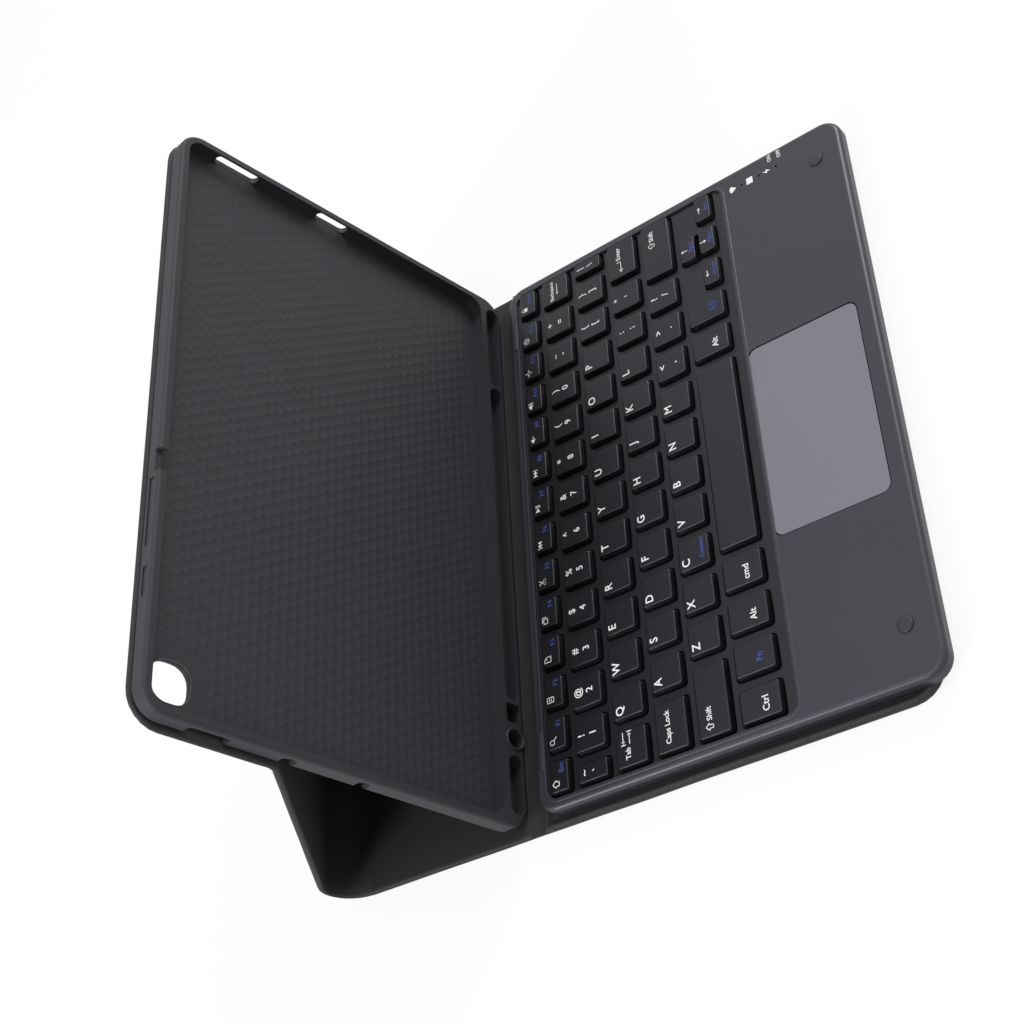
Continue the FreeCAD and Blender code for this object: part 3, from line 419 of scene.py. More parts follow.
def cameraWay(toPanel):
    # outline of the camera hole in the back panel's own axes
    half = camera["size"] / 2
    around = roundedOutline((camera["x"] - half) * mm, (camera["x"] + half) * mm, (camera["y"] - half) * mm,
                            (camera["y"] + half) * mm, [camera["radius"] * mm] * 4)
    flat = [toPanel @ trayPlace @ Vector((p.x, p.y, 0)) for p in around]
    turned = [Vector((p.x, p.y)) for p in flat]
    area = sum(a.cross(b) for a, b in zip(turned, turned[1:] + turned[:1]))
    return turned if area > 0 else turned[::-1]


# seen from behind, this panel's Y runs down the tray, so its first corners are the upper ones
leatherPanel("leatherBackPanel", "back_panel", -trayZ, (cover["backCorner"], tight, tight, cover["backCorner"]),
             None, cameraWay)
print("leather panels done")


def bendStrip(name, node, start, heading, turn, length, material="fold_leather"):
    # a soft strip that leaves start along heading and turns steadily, as two faces with round ends
    half = cover["bendThickness"] / 2
    low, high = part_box(node)
    columns = cover["bendColumns"]
    across = [low.x / mm + half + (high.x - low.x - 2 * half * mm) / mm * k / columns for k in range(columns + 1)]
    section = [(x, half) for x in across]
    section += [(across[-1] + half * math.sin(a), half * math.cos(a)) for a in cover["bendRound"]]
    section += [(x, -half) for x in reversed(across)]
    section += [(across[0] - half * math.sin(a), -half * math.cos(a)) for a in cover["bendRound"]]
    steps = cover["bendSteps"]
    runs = [(-cover["tuck"], 0.0)] + [(length * k / steps, turn * k / steps) for k in range(steps + 1)]
    stations, spot, last = [], Vector(start) / mm, 0.0
    for run, angle in runs + [(length + cover["tuck"], turn)]:
        a = math.radians(heading + angle - (turn / steps / 2 if 0 < run <= length else 0))
        spot = spot + Vector((0, math.cos(a), math.sin(a))) * (run - last)
        last = run
        a = math.radians(heading + angle)
        stations.append((spot.copy(), Vector((0, -math.sin(a), math.cos(a)))))
    bm = bmesh.new()
    loops = []
    for spot, out in stations:
        loop = []
        for x, rise in section:
            wander = leatherSway(Vector((x, spot.y + spot.z, 0)) * mm).z * cover["bendWave"]
            loop.append(bm.verts.new((spot + Vector((x, 0, 0)) + out * rise) * mm + out * wander))
        loops.append(loop)
    for lower, upper in zip(loops, loops[1:]):
        bridge(bm, lower, upper)
    bm.faces.new(loops[0])
    bm.faces.new(loops[-1])
    bmesh.ops.recalc_face_normals(bm, faces=bm.faces)
    strip = dress(name, bm, material, None, "fold_leather", node, angle=60)
    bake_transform(strip)


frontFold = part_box("front_fold_strip")
middle = (frontFold[0].z + frontFold[1].z) / 2
# the front fold strip takes the near-black lining: painted shade for the valley between the tray foot and the keyboard
bendStrip("leatherFrontFold", "front_fold_strip", (0, frontFold[0].y, middle), 0, 0,
          (frontFold[1].y - frontFold[0].y) / mm, "cover_lining")
flapUp = flapAxes.to_3x3() @ Vector((0, 1, 0))
flapUp = flapUp if flapUp.z > 0 else -flapUp
flapTurn = math.degrees(math.atan2(flapUp.z, flapUp.y))
rearBend = {"radius": 12.0}
bendStrip("leatherRearFold", "rear_fold_strip", (0, rearHigh.y, middle), 0, flapTurn,
          rearBend["radius"] * math.radians(flapTurn))
trayUp = trayAxes @ Vector((0, 1, 0))
trayTurn = math.degrees(math.atan2(trayUp.z, trayUp.y)) - flapTurn
trayBend = {"radius": 8.0}
flapEnds = [flapAxes @ Vector((0, y, (flapLow.z + flapHigh.z) / 2)) for y in (flapLow.y, flapHigh.y)]
bendStrip("leatherTrayFold", "tray_fold_strip", max(flapEnds, key=lambda p: p.z), flapTurn, trayTurn,
          trayBend["radius"] * math.radians(-trayTurn))
print("leather folds done")


# key caps: tapered skirts, tight shoulders and flat tops, as (inset, height) rings from the skirt up
cap = {"corner": 1.25, "steps": 4, "gap": 2.0,
       "rings": ((0.0, 0.0), (0.5, 2.62), (0.56, 2.8), (0.7, 2.94), (0.95, 3.0), (1.2, 3.0))}


def capSpans(node):
    # the caps of a key node, split where the row leaves a gap
    mesh = nodes[node].data
    runs = []
    for polygon in mesh.polygons:
        xs = [mesh.vertices[i].co.x for i in polygon.vertices]
        runs.append((min(xs), max(xs)))
    spans = []
    for start, end in sorted(runs):
        if spans and start < spans[-1][1] + cap["gap"] * mm:
            spans[-1][1] = max(spans[-1][1], end)
        else:
            spans.append([start, end])
    return spans


keyNodes = [name for name, slot in slotOf.items() if slot == "keycap_abs"]
capPlaces = {}
for node in keyNodes:
    low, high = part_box(node)
    bm = bmesh.new()
    for x0, x1 in capSpans(node):
        outline = roundedOutline(x0, x1, low.y, high.y, [cap["corner"] * mm] * 4, cap["steps"])
        addSlab(bm, outline, [(amount, low.z / mm + z) for amount, z in cap["rings"]])
        capPlaces.setdefault(node, []).append((x0 / mm, x1 / mm, low.y / mm, high.y / mm))
    capTop = high.z / mm
    dress(node.replace("keys_", "caps_").replace("key_", "cap_"), bm, "keycap_abs", bodyOf[node], "keycap_abs",
          node, angle=40)
print("caps:", sum(len(places) for places in capPlaces.values()))


# dark plate between the keys, a window round every cap: a near-black sheet over the well floor, painted shade for the
# gaps between the caps
web = {"margin": 0.4, "radius": 3.6, "window": 0.7, "low": -0.05, "high": 0.12, "inLine": 0.1, "sliver": 1e-4}
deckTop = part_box("top_case")[1].z / mm
well = {"half": 118.5, "front": 55.0, "depth": 106.0, "recess": 1.0}
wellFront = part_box("top_case")[0].y + well["front"] * mm
bm = bmesh.new()
outer = roundedOutline(-(well["half"] - web["margin"]) * mm, (well["half"] - web["margin"]) * mm,
                       wellFront + web["margin"] * mm, wellFront + (well["depth"] - web["margin"]) * mm,
                       [web["radius"] * mm] * 4)
spots = []
allCaps = [place for places in capPlaces.values() for place in places]
for spot in sorted(allCaps, key=lambda p: (round(p[0], 1), p[2])):
    last = spots[-1] if spots else spot
    inLine = spot != last and abs(spot[0] - last[0]) + abs(spot[1] - last[1]) < web["inLine"]
    if inLine and spot[2] - last[3] < 2 * web["window"]:
        spots[-1] = last[:3] + spot[3:]  # two half keys share a window
    else:
        spots.append(spot)
windows = [roundedOutline((x0 - web["window"]) * mm, (x1 + web["window"]) * mm, (y0 - web["window"]) * mm,
                          (y1 + web["window"]) * mm, [(cap["corner"] + web["window"]) * mm] * 4, cap["steps"])
           for x0, x1, y0, y1 in spots]
rims = {"low": [], "high": []}
for outline in [outer] + windows:
    pair = []
    for side in rims:
        z = (deckTop - well["recess"] + web[side]) * mm
        loop = [bm.verts.new((p.x, p.y, z)) for p in outline]
        rims[side] += [bm.edges.new((loop[i - 1], loop[i])) for i in range(len(loop))]
        pair.append(loop)
    bridge(bm, *pair)
for edges in rims.values():
    bmesh.ops.triangle_fill(bm, use_beauty=True, edges=edges)
slivers = [f for f in bm.faces if f.calc_area() < web["sliver"] * mm * mm]
bmesh.ops.delete(bm, geom=slivers, context="FACES")
bmesh.ops.recalc_face_normals(bm, faces=bm.faces)
# the near-black cap plastic on this plate is painted shade, not the well floor's own colour
dress("keyWebShadePlate", bm, "keycap_abs", "front_cover", "keycap_abs", angle=40)
print("web plate:", len(windows), "windows")


# printed marks: thin closed plates of ink, gathered per body and colour
ink = {"thickness": 0.03, "sunk": 0.015, "stroke": 0.32, "overlap": 0.5, "bold": 0.014, "curve": 3,
       "weld": 0.001}
inkWork = {}


def inkOn(body, colour):
    if (body, colour) not in inkWork:
        inkWork[(body, colour)] = bmesh.new()
    return inkWork[(body, colour)]


def addPlate(bm, outline, z):
    low, high = z - ink["sunk"], z + ink["thickness"] - ink["sunk"]
    area = sum(a[0] * b[1] - a[1] * b[0] for a, b in zip(outline, outline[1:] + outline[:1]))
    outline = outline if area > 0 else outline[::-1]
    floor, roof = ([bm.verts.new((x * mm, y * mm, h * mm)) for x, y in outline] for h in (low, high))
    bridge(bm, floor, roof)
    bm.faces.new(list(reversed(floor)))
    bm.faces.new(roof)


def addStroke(bm, points, z, closed=False):
    # a line of short plates that overlap a little where they meet
    half = ink["stroke"] / 2
    for a, b in zip(points, points[1:] + (points[:1] if closed else [])):
        a, b = Vector(a), Vector(b)
        along = (b - a).normalized()
        side = Vector((-along.y, along.x)) * half
        a, b = a - along * half * ink["overlap"], b + along * half * ink["overlap"]
        addPlate(bm, [tuple(p) for p in (a - side, b - side, b + side, a + side)], z)


def ringPoints(x, y, radius, count=12, squeeze=1.0):
    return [(x + radius * squeeze * math.cos(2 * math.pi * k / count), y + radius * math.sin(2 * math.pi * k / count))
            for k in range(count)]


def letterMesh(text, sizeInMm=None):
    curve = bpy.data.curves.new("legend", "FONT")
    curve.body = text
    curve.resolution_u = ink["curve"]
    curve.offset = ink["bold"]
    if sizeInMm:
        curve.extrude = ink["thickness"] / 2 / sizeInMm
    holder = bpy.data.objects.new("legend", curve)
    mesh = bpy.data.meshes.new_from_object(holder)
    bpy.data.objects.remove(holder)
    bpy.data.curves.remove(curve)
    return mesh


tall = letterMesh("H")
capHeight = max(v.co.y for v in tall.vertices)
bpy.data.meshes.remove(tall)


def addText(bm, text, x, y, z, height, align="middle"):
    # baseline text, its capitals centred on y
    size = height / capHeight
    mesh = letterMesh(text, size)
    xs = [v.co.x for v in mesh.vertices]
    shift = {"left": min(xs), "middle": (min(xs) + max(xs)) / 2, "right": max(xs)}[align]
    rise = z + ink["thickness"] / 2 - ink["sunk"]
    mesh.transform(Matrix.Translation(Vector((x, y - height / 2, rise)) * mm)
                   @ Matrix.Scale(size * mm, 4) @ Matrix.Translation((-shift, 0, 0)))
    bm.from_mesh(mesh)
    bpy.data.meshes.remove(mesh)


# small pictures in a square from -1 to 1: filled plates, open lines, loops and rings
speakerBox = ("fill", [(-0.95, 0.32), (-0.95, -0.32), (-0.5, -0.32), (0.0, -0.8), (0.0, 0.8), (-0.5, 0.32)])
rays = [("line", [(0.62 * math.cos(a), 0.62 * math.sin(a)), (0.98 * math.cos(a), 0.98 * math.sin(a))])
        for a in (math.pi / 4 * k for k in range(8))]
pictures = {
    "house": [("loop", [(-0.95, -0.05), (-0.55, -0.05), (-0.55, -0.85), (0.55, -0.85), (0.55, -0.05), (0.95, -0.05),
                        (0, 0.9)])],
    "magnifier": [("ring", -0.25, 0.25, 0.6), ("line", [(0.2, -0.2), (0.9, -0.9)])],
    "page": [("loop", [(-0.65, -0.9), (0.65, -0.9), (0.65, 0.9), (-0.65, 0.9)]), ("line", [(-0.3, 0.3), (0.3, 0.3)]),
             ("line", [(-0.3, -0.25), (0.3, -0.25)])],
    "panes": [("loop", [(-0.9, -0.7), (0.4, -0.7), (0.4, 0.4), (-0.9, 0.4)]),
              ("line", [(-0.45, 0.8), (0.85, 0.8), (0.85, -0.3)])],
    "scissors": [("ring", -0.5, -0.6, 0.3), ("ring", 0.5, -0.6, 0.3), ("line", [(-0.35, -0.35), (0.55, 0.95)]),
                 ("line", [(0.35, -0.35), (-0.55, 0.95)])],
    "previous": [("line", [(-0.95, 0.65), (-0.95, -0.65)]), ("fill", [(0.05, 0.65), (-0.8, 0), (0.05, -0.65)]),
                 ("fill", [(0.95, 0.65), (0.1, 0), (0.95, -0.65)])],
    "play": [("fill", [(-0.9, 0.7), (-0.9, -0.7), (0.15, 0)]), ("line", [(0.45, 0.65), (0.45, -0.65)]),
             ("line", [(0.9, 0.65), (0.9, -0.65)])],
    "next": [("line", [(0.95, 0.65), (0.95, -0.65)]), ("fill", [(-0.05, 0.65), (-0.05, -0.65), (0.8, 0)]),
             ("fill", [(-0.95, 0.65), (-0.95, -0.65), (-0.1, 0)])],
    "quieter": [speakerBox, ("line", [(0.35, 0), (0.95, 0)])],
    "louder": [speakerBox, ("line", [(0.3, 0.4), (0.42, 0), (0.3, -0.4)]),
               ("line", [(0.65, 0.7), (0.9, 0), (0.65, -0.7)])],
    "dimmer": [("ring", 0, 0, 0.36)] + rays[::2],
    "brighter": [("ring", 0, 0, 0.4)] + rays,
    "lock": [("fill", [(-0.6, -0.9), (0.6, -0.9), (0.6, 0.1), (-0.6, 0.1)]),
             ("line", [(-0.4, 0.1), (-0.4, 0.55), (-0.15, 0.85), (0.15, 0.85), (0.4, 0.55), (0.4, 0.1)])],
    "leaf": [("loop", [(-0.7, -0.9), (0.7, -0.9), (0.7, 0.2), (0.05, 0.9), (-0.7, 0.9)]),
             ("fill", [(0.7, 0.2), (0.05, 0.9), (0.05, 0.2)])],
    "globe": [("ring", 0, 0, 0.9), ("line", [(-0.9, 0), (0.9, 0)]), ("loop", ringPoints(0, 0, 0.9, 12, 0.45))],
    "up": [("line", [(0, -0.9), (0, 0.4)]), ("fill", [(-0.45, 0.2), (0.45, 0.2), (0, 0.95)])],
    "down": [("line", [(0, 0.9), (0, -0.4)]), ("fill", [(-0.45, -0.2), (0.45, -0.2), (0, -0.95)])],
    "left": [("line", [(0.9, 0), (-0.4, 0)]), ("fill", [(-0.2, -0.45), (-0.2, 0.45), (-0.95, 0)])],
    "right": [("line", [(-0.9, 0), (0.4, 0)]), ("fill", [(0.2, -0.45), (0.2, 0.45), (0.95, 0)])],
    "shift": [("loop", [(0, 1), (0.9, 0.1), (0.4, 0.1), (0.4, -0.8), (-0.4, -0.8), (-0.4, 0.1), (-0.9, 0.1)])],
    "longLeft": [("line", [(-0.8, 0), (1, 0)]), ("fill", [(-0.5, 0.22), (-1, 0), (-0.5, -0.22)])],
    "tabs": [("line", [(-0.9, 0.55), (1, 0.55)]), ("line", [(-1, 0.95), (-1, 0.15)]),
             ("fill", [(-0.85, 0.55), (-0.4, 0.85), (-0.4, 0.25)]),
             ("line", [(-1, -0.55), (0.9, -0.55)]), ("line", [(1, -0.15), (1, -0.95)]),
             ("fill", [(0.85, -0.55), (0.4, -0.25), (0.4, -0.85)])],
    "return": [("line", [(0.9, 0.4), (0.9, -0.2), (-0.7, -0.2)]), ("fill", [(-0.45, 0.1), (-1, -0.2), (-0.45, -0.5)])],
    "fan": [("fill", [(0, -0.95), (0.95, 0.3), (0.55, 0.68), (0, 0.82), (-0.55, 0.68), (-0.95, 0.3)])],
    "square": [("fill", [(-0.9, -0.8), (0.9, -0.8), (0.9, 0.8), (-0.9, 0.8)])],
    "bolt": [("fill", [(0.2, 1), (-0.6, -0.1), (-0.05, -0.1), (-0.2, -1), (0.6, 0.15), (0.05, 0.15)])],
}


def addPicture(bm, name, x, y, z, size):
    half = size / 2
    for kind, *shape in pictures[name]:
        if kind == "ring":
            points = ringPoints(x + shape[0] * half, y + shape[1] * half, shape[2] * half)
        else:
            points = [(x + u * half, y + v * half) for u, v in shape[0]]
        if kind == "fill":
            addPlate(bm, points, z)
        else:
            addStroke(bm, points, z, kind in ("ring", "loop"))


# legends: letters at the rear left of a cap, pairs one behind the other, blue second functions
legend = {"letter": 3.3, "pair": 2.9, "word": 2.1, "modifier": 2.55, "small": 1.75, "tiny": 1.45,
          "icon": 3.3, "long": 6.0, "tabs": 5.0, "globe": 4.5,
          "left": 3.5, "rear": 3.5, "pairRear": 3.2, "pairFront": 8.3, "globeRear": 11.6,
          "functionLeft": 3.6, "functionRear": 2.9, "functionRight": 1.4, "functionFront": 3.4,
          "secondRight": 1.0, "secondFront": 3.4}
pairRows = {"keys_number_row": [a + b for a, b in zip("!@#$%^&*()_+", "1234567890-=")],
            "keys_q_row": ["Q", "W", "E", "R", "T", "Y", "U", "I", "O", "P", "{[", "}]"],
            "keys_a_row": ["A", "S", "D", "F", "G", "H", "J", "K", "L", ":;", "\"'"],
            "keys_z_row": ["Z", "X", "C", "V", "B", "N", "M", "<,", ">.", "?/"],
            "key_backquote": ["~`"], "key_backslash": ["|\\"]}
for node, marks in pairRows.items():
    target = inkOn(bodyOf[node], "whiteInk")
    for (x0, x1, y0, y1), mark in zip(capPlaces[node], marks):
        if len(mark) == 1:
            addText(target, mark, x0 + legend["left"], y1 - legend["rear"], capTop, legend["letter"])
        else:
            for sign, front in zip(mark, (legend["pairRear"], legend["pairFront"])):
                addText(target, sign, (x0 + x1) / 2, y1 - front, capTop, legend["pair"])
functions = [("house", "Esc"), ("magnifier", "F1"), ("page", "F2"), ("leaf", "F3"), ("panes", "F4"),
             ("scissors", "F5"), ("previous", "F6"), ("play", "F7"), ("next", "F8"), ("quieter", "F9"),
             ("louder", "F10"), ("dimmer", "F11"), ("brighter", "F12"), ("lock", "Delete")]
for (x0, x1, y0, y1), (picture, word) in zip(capPlaces["keys_function_row"], functions):
    size = legend["tiny" if len(word) > 4 else "word"]
    addPicture(inkOn("keys_function_row", "whiteInk"), picture, x0 + legend["functionLeft"],
               y1 - legend["functionRear"], capTop, legend["icon"])
    addText(inkOn("keys_function_row", "blueInk"), word, x1 - legend["functionRight"],
            y0 + legend["functionFront"], capTop, size, "right")
# single keys: words and pictures with their places from the left and from the rear edge
words = {
    "key_tab": [("text", "Tab", 3.0, 5.6, "word"), ("picture", "tabs", 11.4, 5.2, "tabs")],
    "key_caps_lock": [("text", "Caps Lock", 3.4, 5.6, "word")],
    "key_shift_left": [("picture", "shift", 4.2, 5.4, "icon"), ("text", "Shift", 6.6, 5.4, "word")],
    "key_shift_right": [("picture", "shift", 17.0, 5.0, "icon"), ("text", "Shift", 19.2, 5.0, "word")],
    "key_enter": [("picture", "return", 5.6, 6.0, "long"), ("text", "Enter", 9.6, 5.6, "word")],
    "key_backspace": [("text", "Backspace", 1.8, 5.4, "small"), ("picture", "longLeft", 7.0, 8.2, "long")],
    "key_ctrl": [("text", "Ctrl", 2.6, 10.6, "modifier")],
    "key_alt_left": [("text", "Alt", 3.0, 10.6, "modifier")],
    "key_alt_right": [("text", "Alt", 3.0, 10.6, "modifier")],
    "key_command": [("text", "cmd", 2.4, 10.0, "modifier")],
    "key_arrow_left": [("picture", "left", 5.8, 2.3, "icon")],
    "key_arrow_right": [("picture", "right", 5.8, 2.3, "icon")],
    "key_arrow_up": [("picture", "up", 5.8, 2.3, "icon")],
    "key_arrow_down": [("picture", "down", 5.8, 2.3, "icon")],
}
blueWords = {"key_fn": ("Fn", 4.4, 10.6, "modifier"), "key_arrow_left": ("Home", 4.2, 5.4, "small"),
             "key_arrow_right": ("End", 4.6, 5.4, "small"), "key_arrow_up": ("PgUp", 4.2, 5.4, "small"),
             "key_arrow_down": ("PgDn", 4.2, 5.4, "small")}
for node, marks in words.items():
    x0, x1, y0, y1 = capPlaces[node][0]
    for kind, mark, right, front, size in marks:
        if kind == "text":
            addText(inkOn(bodyOf[node], "whiteInk"), mark, x0 + right, y1 - front, capTop, legend[size], "left")
        else:
            addPicture(inkOn(bodyOf[node], "whiteInk"), mark, x0 + right, y1 - front, capTop, legend[size])
for node, (mark, right, front, size) in blueWords.items():
    x0, x1, y0, y1 = capPlaces[node][0]
    addText(inkOn(bodyOf[node], "blueInk"), mark, x0 + right, y1 - front, capTop, legend[size], "left")
x0, x1, y0, y1 = capPlaces["keys_z_row"][2]
addText(inkOn("keys_z_row", "blueInk"), "Connect", x1 - legend["secondRight"], y0 + legend["secondFront"], capTop,
        legend["small"], "right")
x0, x1, y0, y1 = capPlaces["key_input"][0]
addPicture(inkOn(bodyOf["key_input"], "blueInk"), "globe", (x0 + x1) / 2, y1 - legend["globeRear"], capTop,
           legend["globe"])

# marks on the palm rest: three lamp pictures and the two ends of the power switch
palm = {"lampBehind": 4.4, "lampSize": 3.6, "pipeRadius": 0.6, "word": 1.6,
        "switchLeft": 119.2, "switchGap": 2.2, "switchFront": 0.5}
pipeLow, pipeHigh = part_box("light_pipes")
pipeX = (pipeLow.x + pipeHigh.x) / 2 / mm
pipeRun = (pipeHigh.y - pipeLow.y) / mm - 2 * palm["pipeRadius"]
for picture, share in zip(("bolt", "square", "fan"), (0.0, 0.5, 1.0)):
    y = pipeLow.y / mm + palm["pipeRadius"] + pipeRun * share + palm["lampBehind"]
    addPicture(inkOn("front_cover", "whiteInk"), picture, pipeX, y, deckTop, palm["lampSize"])
knobLow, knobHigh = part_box("power_switch_knob")
knobMiddle = (knobLow.y + knobHigh.y) / 2 / mm
for word, step in (("OFF", -1), ("ON", 1)):
    addText(inkOn("front_cover", "whiteInk"), word, palm["switchLeft"],
            knobMiddle + step * palm["switchGap"] - palm["switchFront"], deckTop, palm["word"])
for (body, colour), bm in inkWork.items():
    bmesh.ops.remove_doubles(bm, verts=bm.verts, dist=ink["weld"] * mm)
    dress("legend_" + body + "_" + colour, bm, colour, body, "keycap_abs" if body != "front_cover" else "case_abs")
print("legends:", len(inkWork), "pieces")


# raised frame round the key well, rounded on top
wellFrame = {"radius": 4.6, "section": ((-1.6, -0.1), (-1.5, 0.05), (-1.2, 0.11), (-0.8, 0.13), (-0.4, 0.1),
                                        (-0.1, 0.03), (-0.1, -0.1))}
around = roundedOutline(-well["half"] * mm, well["half"] * mm, wellFront, wellFront + well["depth"] * mm,
                        [wellFrame["radius"] * mm] * 4)
bm = bmesh.new()
addBead(bm, around, [(amount, deckTop + z) for amount, z in wellFrame["section"]])
bmesh.ops.recalc_face_normals(bm, faces=bm.faces)
dress("wellFrame", bm, "case_abs", "front_cover", "case_abs", angle=50)

# rubber bumpers: low turned buttons with a soft shoulder
bumper = {"radius": 3.0, "segments": 32,
          "profile": ((2.96, 0.0), (3.0, 0.55), (2.96, 0.86), (2.75, 1.1), (2.2, 1.25), (1.2, 1.3), (0.5, 1.3))}
low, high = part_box("palm_bumpers")
bm = bmesh.new()
for x in (low.x + bumper["radius"] * mm, high.x - bumper["radius"] * mm):
    addLathe(bm, Vector((x, (low.y + high.y) / 2, low.z)), bumper["profile"], bumper["segments"])
dress("rubberBumpers", bm, "rubber", "front_cover", "rubber", "palm_bumpers", angle=50)

# stop pads behind the keys: rounded rubber bars
pad = {"length": 15.0, "radius": 1.0, "rings": ((0.0, 0.0), (0.0, 0.45), (0.12, 0.6), (0.35, 0.68), (0.6, 0.7))}
low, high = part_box("rear_stop_pads")
bm = bmesh.new()
for x in (low.x, high.x - pad["length"] * mm):
    addSlab(bm, roundedOutline(x, x + pad["length"] * mm, low.y, high.y, [pad["radius"] * mm] * 4),
            [(amount, low.z / mm + z) for amount, z in pad["rings"]])
dress("rubberStopPads", bm, "rubber", "front_cover", "rubber", "rear_stop_pads", angle=50)
print("keyboard details done")


# shallow grip dimples on the tray floor, in staggered rows of six-sided cells, left out round the camera hole
dimples = {"left": -117.0, "right": 117.0, "foot": 16.0, "top": 160.5, "pitch": 5.04, "rowPitch": 4.1,
           "cameraRoom": 4.0, "ridge": 0.12, "rings": ((2.1, 0.12), (1.85, 0.05), (1.45, 0.02)), "buried": -0.05,
           "weld": 0.01}
half, step = dimples["pitch"] / 2, dimples["rowPitch"]
tip, side = (step ** 2 + half ** 2) / (2 * step), (step ** 2 - half ** 2) / (2 * step)
corners = [Vector(p) for p in ((half, -side), (half, side), (0, tip), (-half, side), (-half, -side), (0, -tip))]
cell = [p for k, corner in enumerate(corners) for p in (corner, (corner + corners[(k + 1) % 6]) / 2)]
rings = [(cell, dimples["ridge"])]
rings += [([p.normalized() * radius for p in cell], z) for radius, z in dimples["rings"]]
bm = bmesh.new()
row, y = 0, dimples["foot"]
room = camera["size"] / 2 + dimples["cameraRoom"]
while y < dimples["top"]:
    x = dimples["left"] + (row % 2) * half
    while x < dimples["right"]:
        if max(abs(x - camera["x"]), abs(y - camera["y"])) > room:
            loops = [[bm.verts.new(Vector((x + p.x, y + p.y, tray["floor"] + z)) * mm) for p in ring]
                     for ring, z in rings]
            for outer, inner in zip(loops, loops[1:]):
                bridge(bm, outer, inner)
            bm.faces.new(loops[-1])
        x += dimples["pitch"]
    row, y = row + 1, y + step
bmesh.ops.remove_doubles(bm, verts=bm.verts, dist=dimples["weld"] * mm)
for vert in bm.verts:
    if vert.is_boundary:  # the outer edge runs down into the floor
        vert.co.z = (tray["floor"] + dimples["buried"]) * mm
bm.transform(trayPlace)
bmesh.ops.recalc_face_normals(bm, faces=bm.faces)
dress("trayDimples", bm, "tray_tpu", "tray", "tray_tpu", angle=60)

# pen loop at the foot: a raised ring, and a rest that stands in the channel
penLoop = {"x": -88.85, "y": 4.9, "segments": 36,
           "section": ((3.75, -0.3), (3.75, 0.35), (4.0, 0.6), (4.35, 0.6), (4.6, 0.3), (4.6, -0.3)),
           "rest": (-60.0, -35.0, 3.3, 6.5), "restCorner": 1.5,
           "restRings": ((0.0, 1.0), (0.0, 2.6), (0.25, 3.0), (0.6, 3.1))}
bm = bmesh.new()
loops = []
for radius, z in penLoop["section"]:
    loops.append([bm.verts.new(Vector((u, v, tray["front"] + z)) * mm)
                  for u, v in ringPoints(penLoop["x"], penLoop["y"], radius, penLoop["segments"])])
for lower, upper in zip(loops, loops[1:] + loops[:1]):
    bridge(bm, lower, upper)
x0, x1, y0, y1 = (value * mm for value in penLoop["rest"])
addSlab(bm, roundedOutline(x0, x1, y0, y1, [penLoop["restCorner"] * mm] * 4), penLoop["restRings"])
bmesh.ops.recalc_face_normals(bm, faces=bm.faces)
bm.transform(trayPlace)
dress("penLoop", bm, "tray_tpu", "tray", "tray_tpu", angle=40)
print("tray details done")


# camera, from the photograph's own perspective
view = {"place": (-370.5, -319.8, 484.4), "forward": (0.53664, 0.50309, -0.67743),
        "up": (0.84235, -0.36662, 0.39501), "lens": 60.84, "sensor": 36.0, "shift": (-0.00586, 0.0078),
        "clip": (0.01, 20.0)}
eye = bpy.data.cameras.new("photoCamera")
eye.lens, eye.sensor_width = view["lens"], view["sensor"]
eye.shift_x, eye.shift_y = view["shift"]
eye.clip_start, eye.clip_end = view["clip"]
forward = Vector(view["forward"]).normalized()
right = forward.cross(Vector(view["up"])).normalized()
turn = Matrix((right, right.cross(forward), -forward)).transposed().to_4x4()
photoCamera = bpy.data.objects.new("photoCamera", eye)
photoCamera.matrix_world = Matrix.Translation(Vector(view["place"]) * mm) @ turn
scene.collection.objects.link(photoCamera)
scene.camera = photoCamera

# studio: pale floor, white surround and soft lamps
studio = {"floorSize": 6.0, "floorSides": 64, "floorGap": 0.0002, "floorColour": "#f2f2f2", "floorGlow": 0.88,
          "surround": 0.38,
          "lamps": {"rightSoftbox": ((1.4, -0.8, 1.0), 0.9, 21.0), "topSoftbox": ((-0.2, 0.2, 1.7), 1.4, 8.5),
                    "rearLeftSoftbox": ((-1.3, 0.9, 1.1), 0.6, 18.0)}}


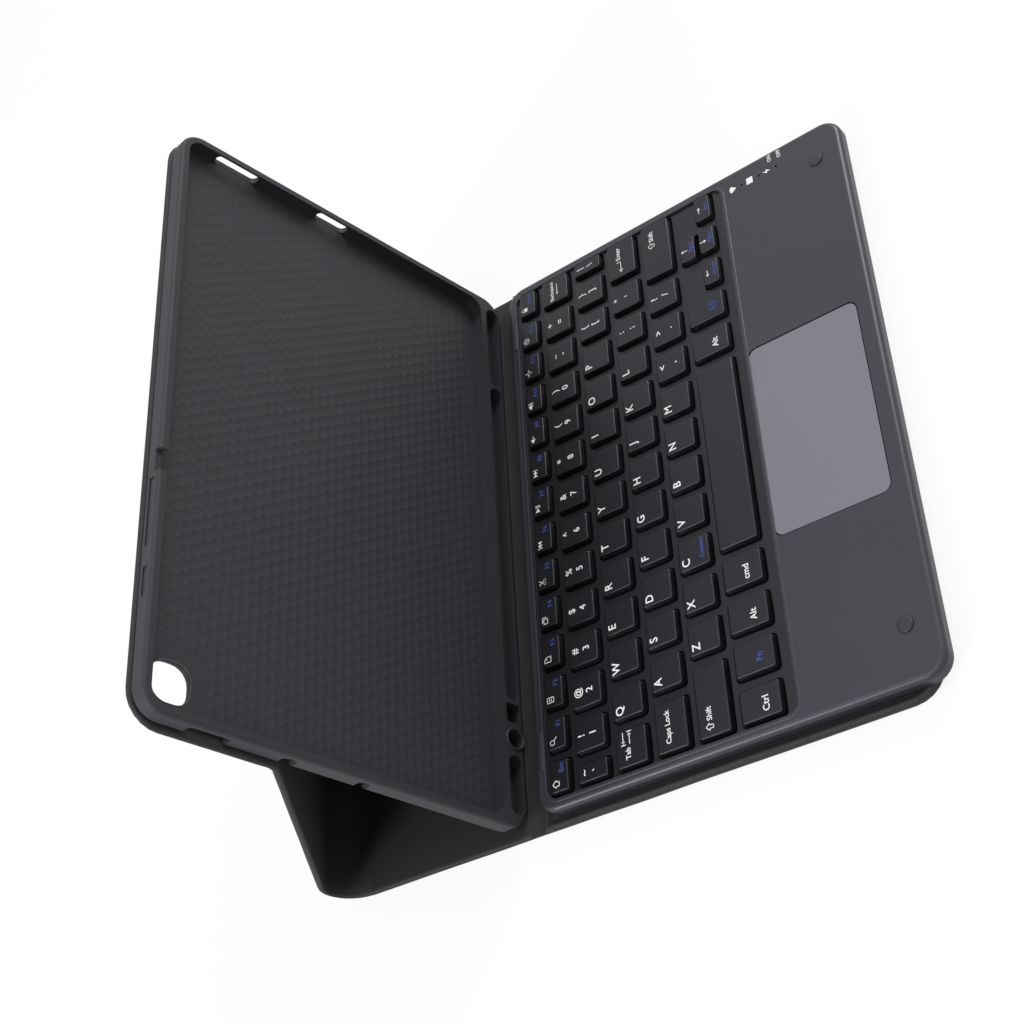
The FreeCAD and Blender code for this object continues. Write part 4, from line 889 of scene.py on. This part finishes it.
def seenDirectly(tree):
    # one where a camera, mirror or glass ray looks, nought where light is gathered
    path = addNode(tree, "ShaderNodeLightPath")
    seen = addNode(tree, "ShaderNodeMath", {"operation": "MAXIMUM"},
                   {0: path.outputs["Is Camera Ray"], 1: path.outputs["Is Glossy Ray"]})
    seen = addNode(tree, "ShaderNodeMath", {"operation": "MAXIMUM"},
                   {0: seen.outputs[0], 1: path.outputs["Is Transmission Ray"]})
    return seen.outputs[0]


floorMaterial = bpy.data.materials.new("paperFloor")
floorMaterial.use_nodes = True
tree = floorMaterial.node_tree
tree.nodes.clear()
paper = addNode(tree, "ShaderNodeBsdfDiffuse", None, {"Color": linear(studio["floorColour"])})
white = addNode(tree, "ShaderNodeEmission", None, {"Color": (1, 1, 1, 1), "Strength": 1.0})
share = addNode(tree, "ShaderNodeMath", {"operation": "MULTIPLY"}, {0: seenDirectly(tree), 1: studio["floorGlow"]})
mixed = addNode(tree, "ShaderNodeMixShader", None, {0: share.outputs[0], 1: paper.outputs[0], 2: white.outputs[0]})
addNode(tree, "ShaderNodeOutputMaterial", None, {"Surface": mixed.outputs[0]})
bm = bmesh.new()
bmesh.ops.create_circle(bm, cap_ends=True, segments=studio["floorSides"], radius=studio["floorSize"] / 2)
floorMesh = bpy.data.meshes.new("paperFloor")
bm.to_mesh(floorMesh)
bm.free()
floorMesh.materials.append(floorMaterial)
floor = bpy.data.objects.new("paperFloor", floorMesh)
floor.location.z = -studio["floorGap"]
scene.collection.objects.link(floor)

world = bpy.data.worlds.new("whiteSurround")
scene.world = world
world.use_nodes = True
tree = world.node_tree
tree.nodes.clear()
level = addNode(tree, "ShaderNodeMapRange", None,
                {"Value": seenDirectly(tree), "To Min": studio["surround"], "To Max": 1.0})
sky = addNode(tree, "ShaderNodeBackground", None, {"Color": (1, 1, 1, 1), "Strength": level.outputs[0]})
addNode(tree, "ShaderNodeOutputWorld", None, {"Surface": sky.outputs[0]})
for name, (place, size, power) in studio["lamps"].items():
    lamp = bpy.data.lights.new(name, "AREA")
    lamp.shape, lamp.size, lamp.energy = "DISK", size, power
    holder = bpy.data.objects.new(name, lamp)
    holder.location = place
    holder.rotation_euler = (-Vector(place)).to_track_quat("-Z", "Y").to_euler()
    scene.collection.objects.link(holder)
scene.view_settings.view_transform = "Standard"
print("camera and studio done")
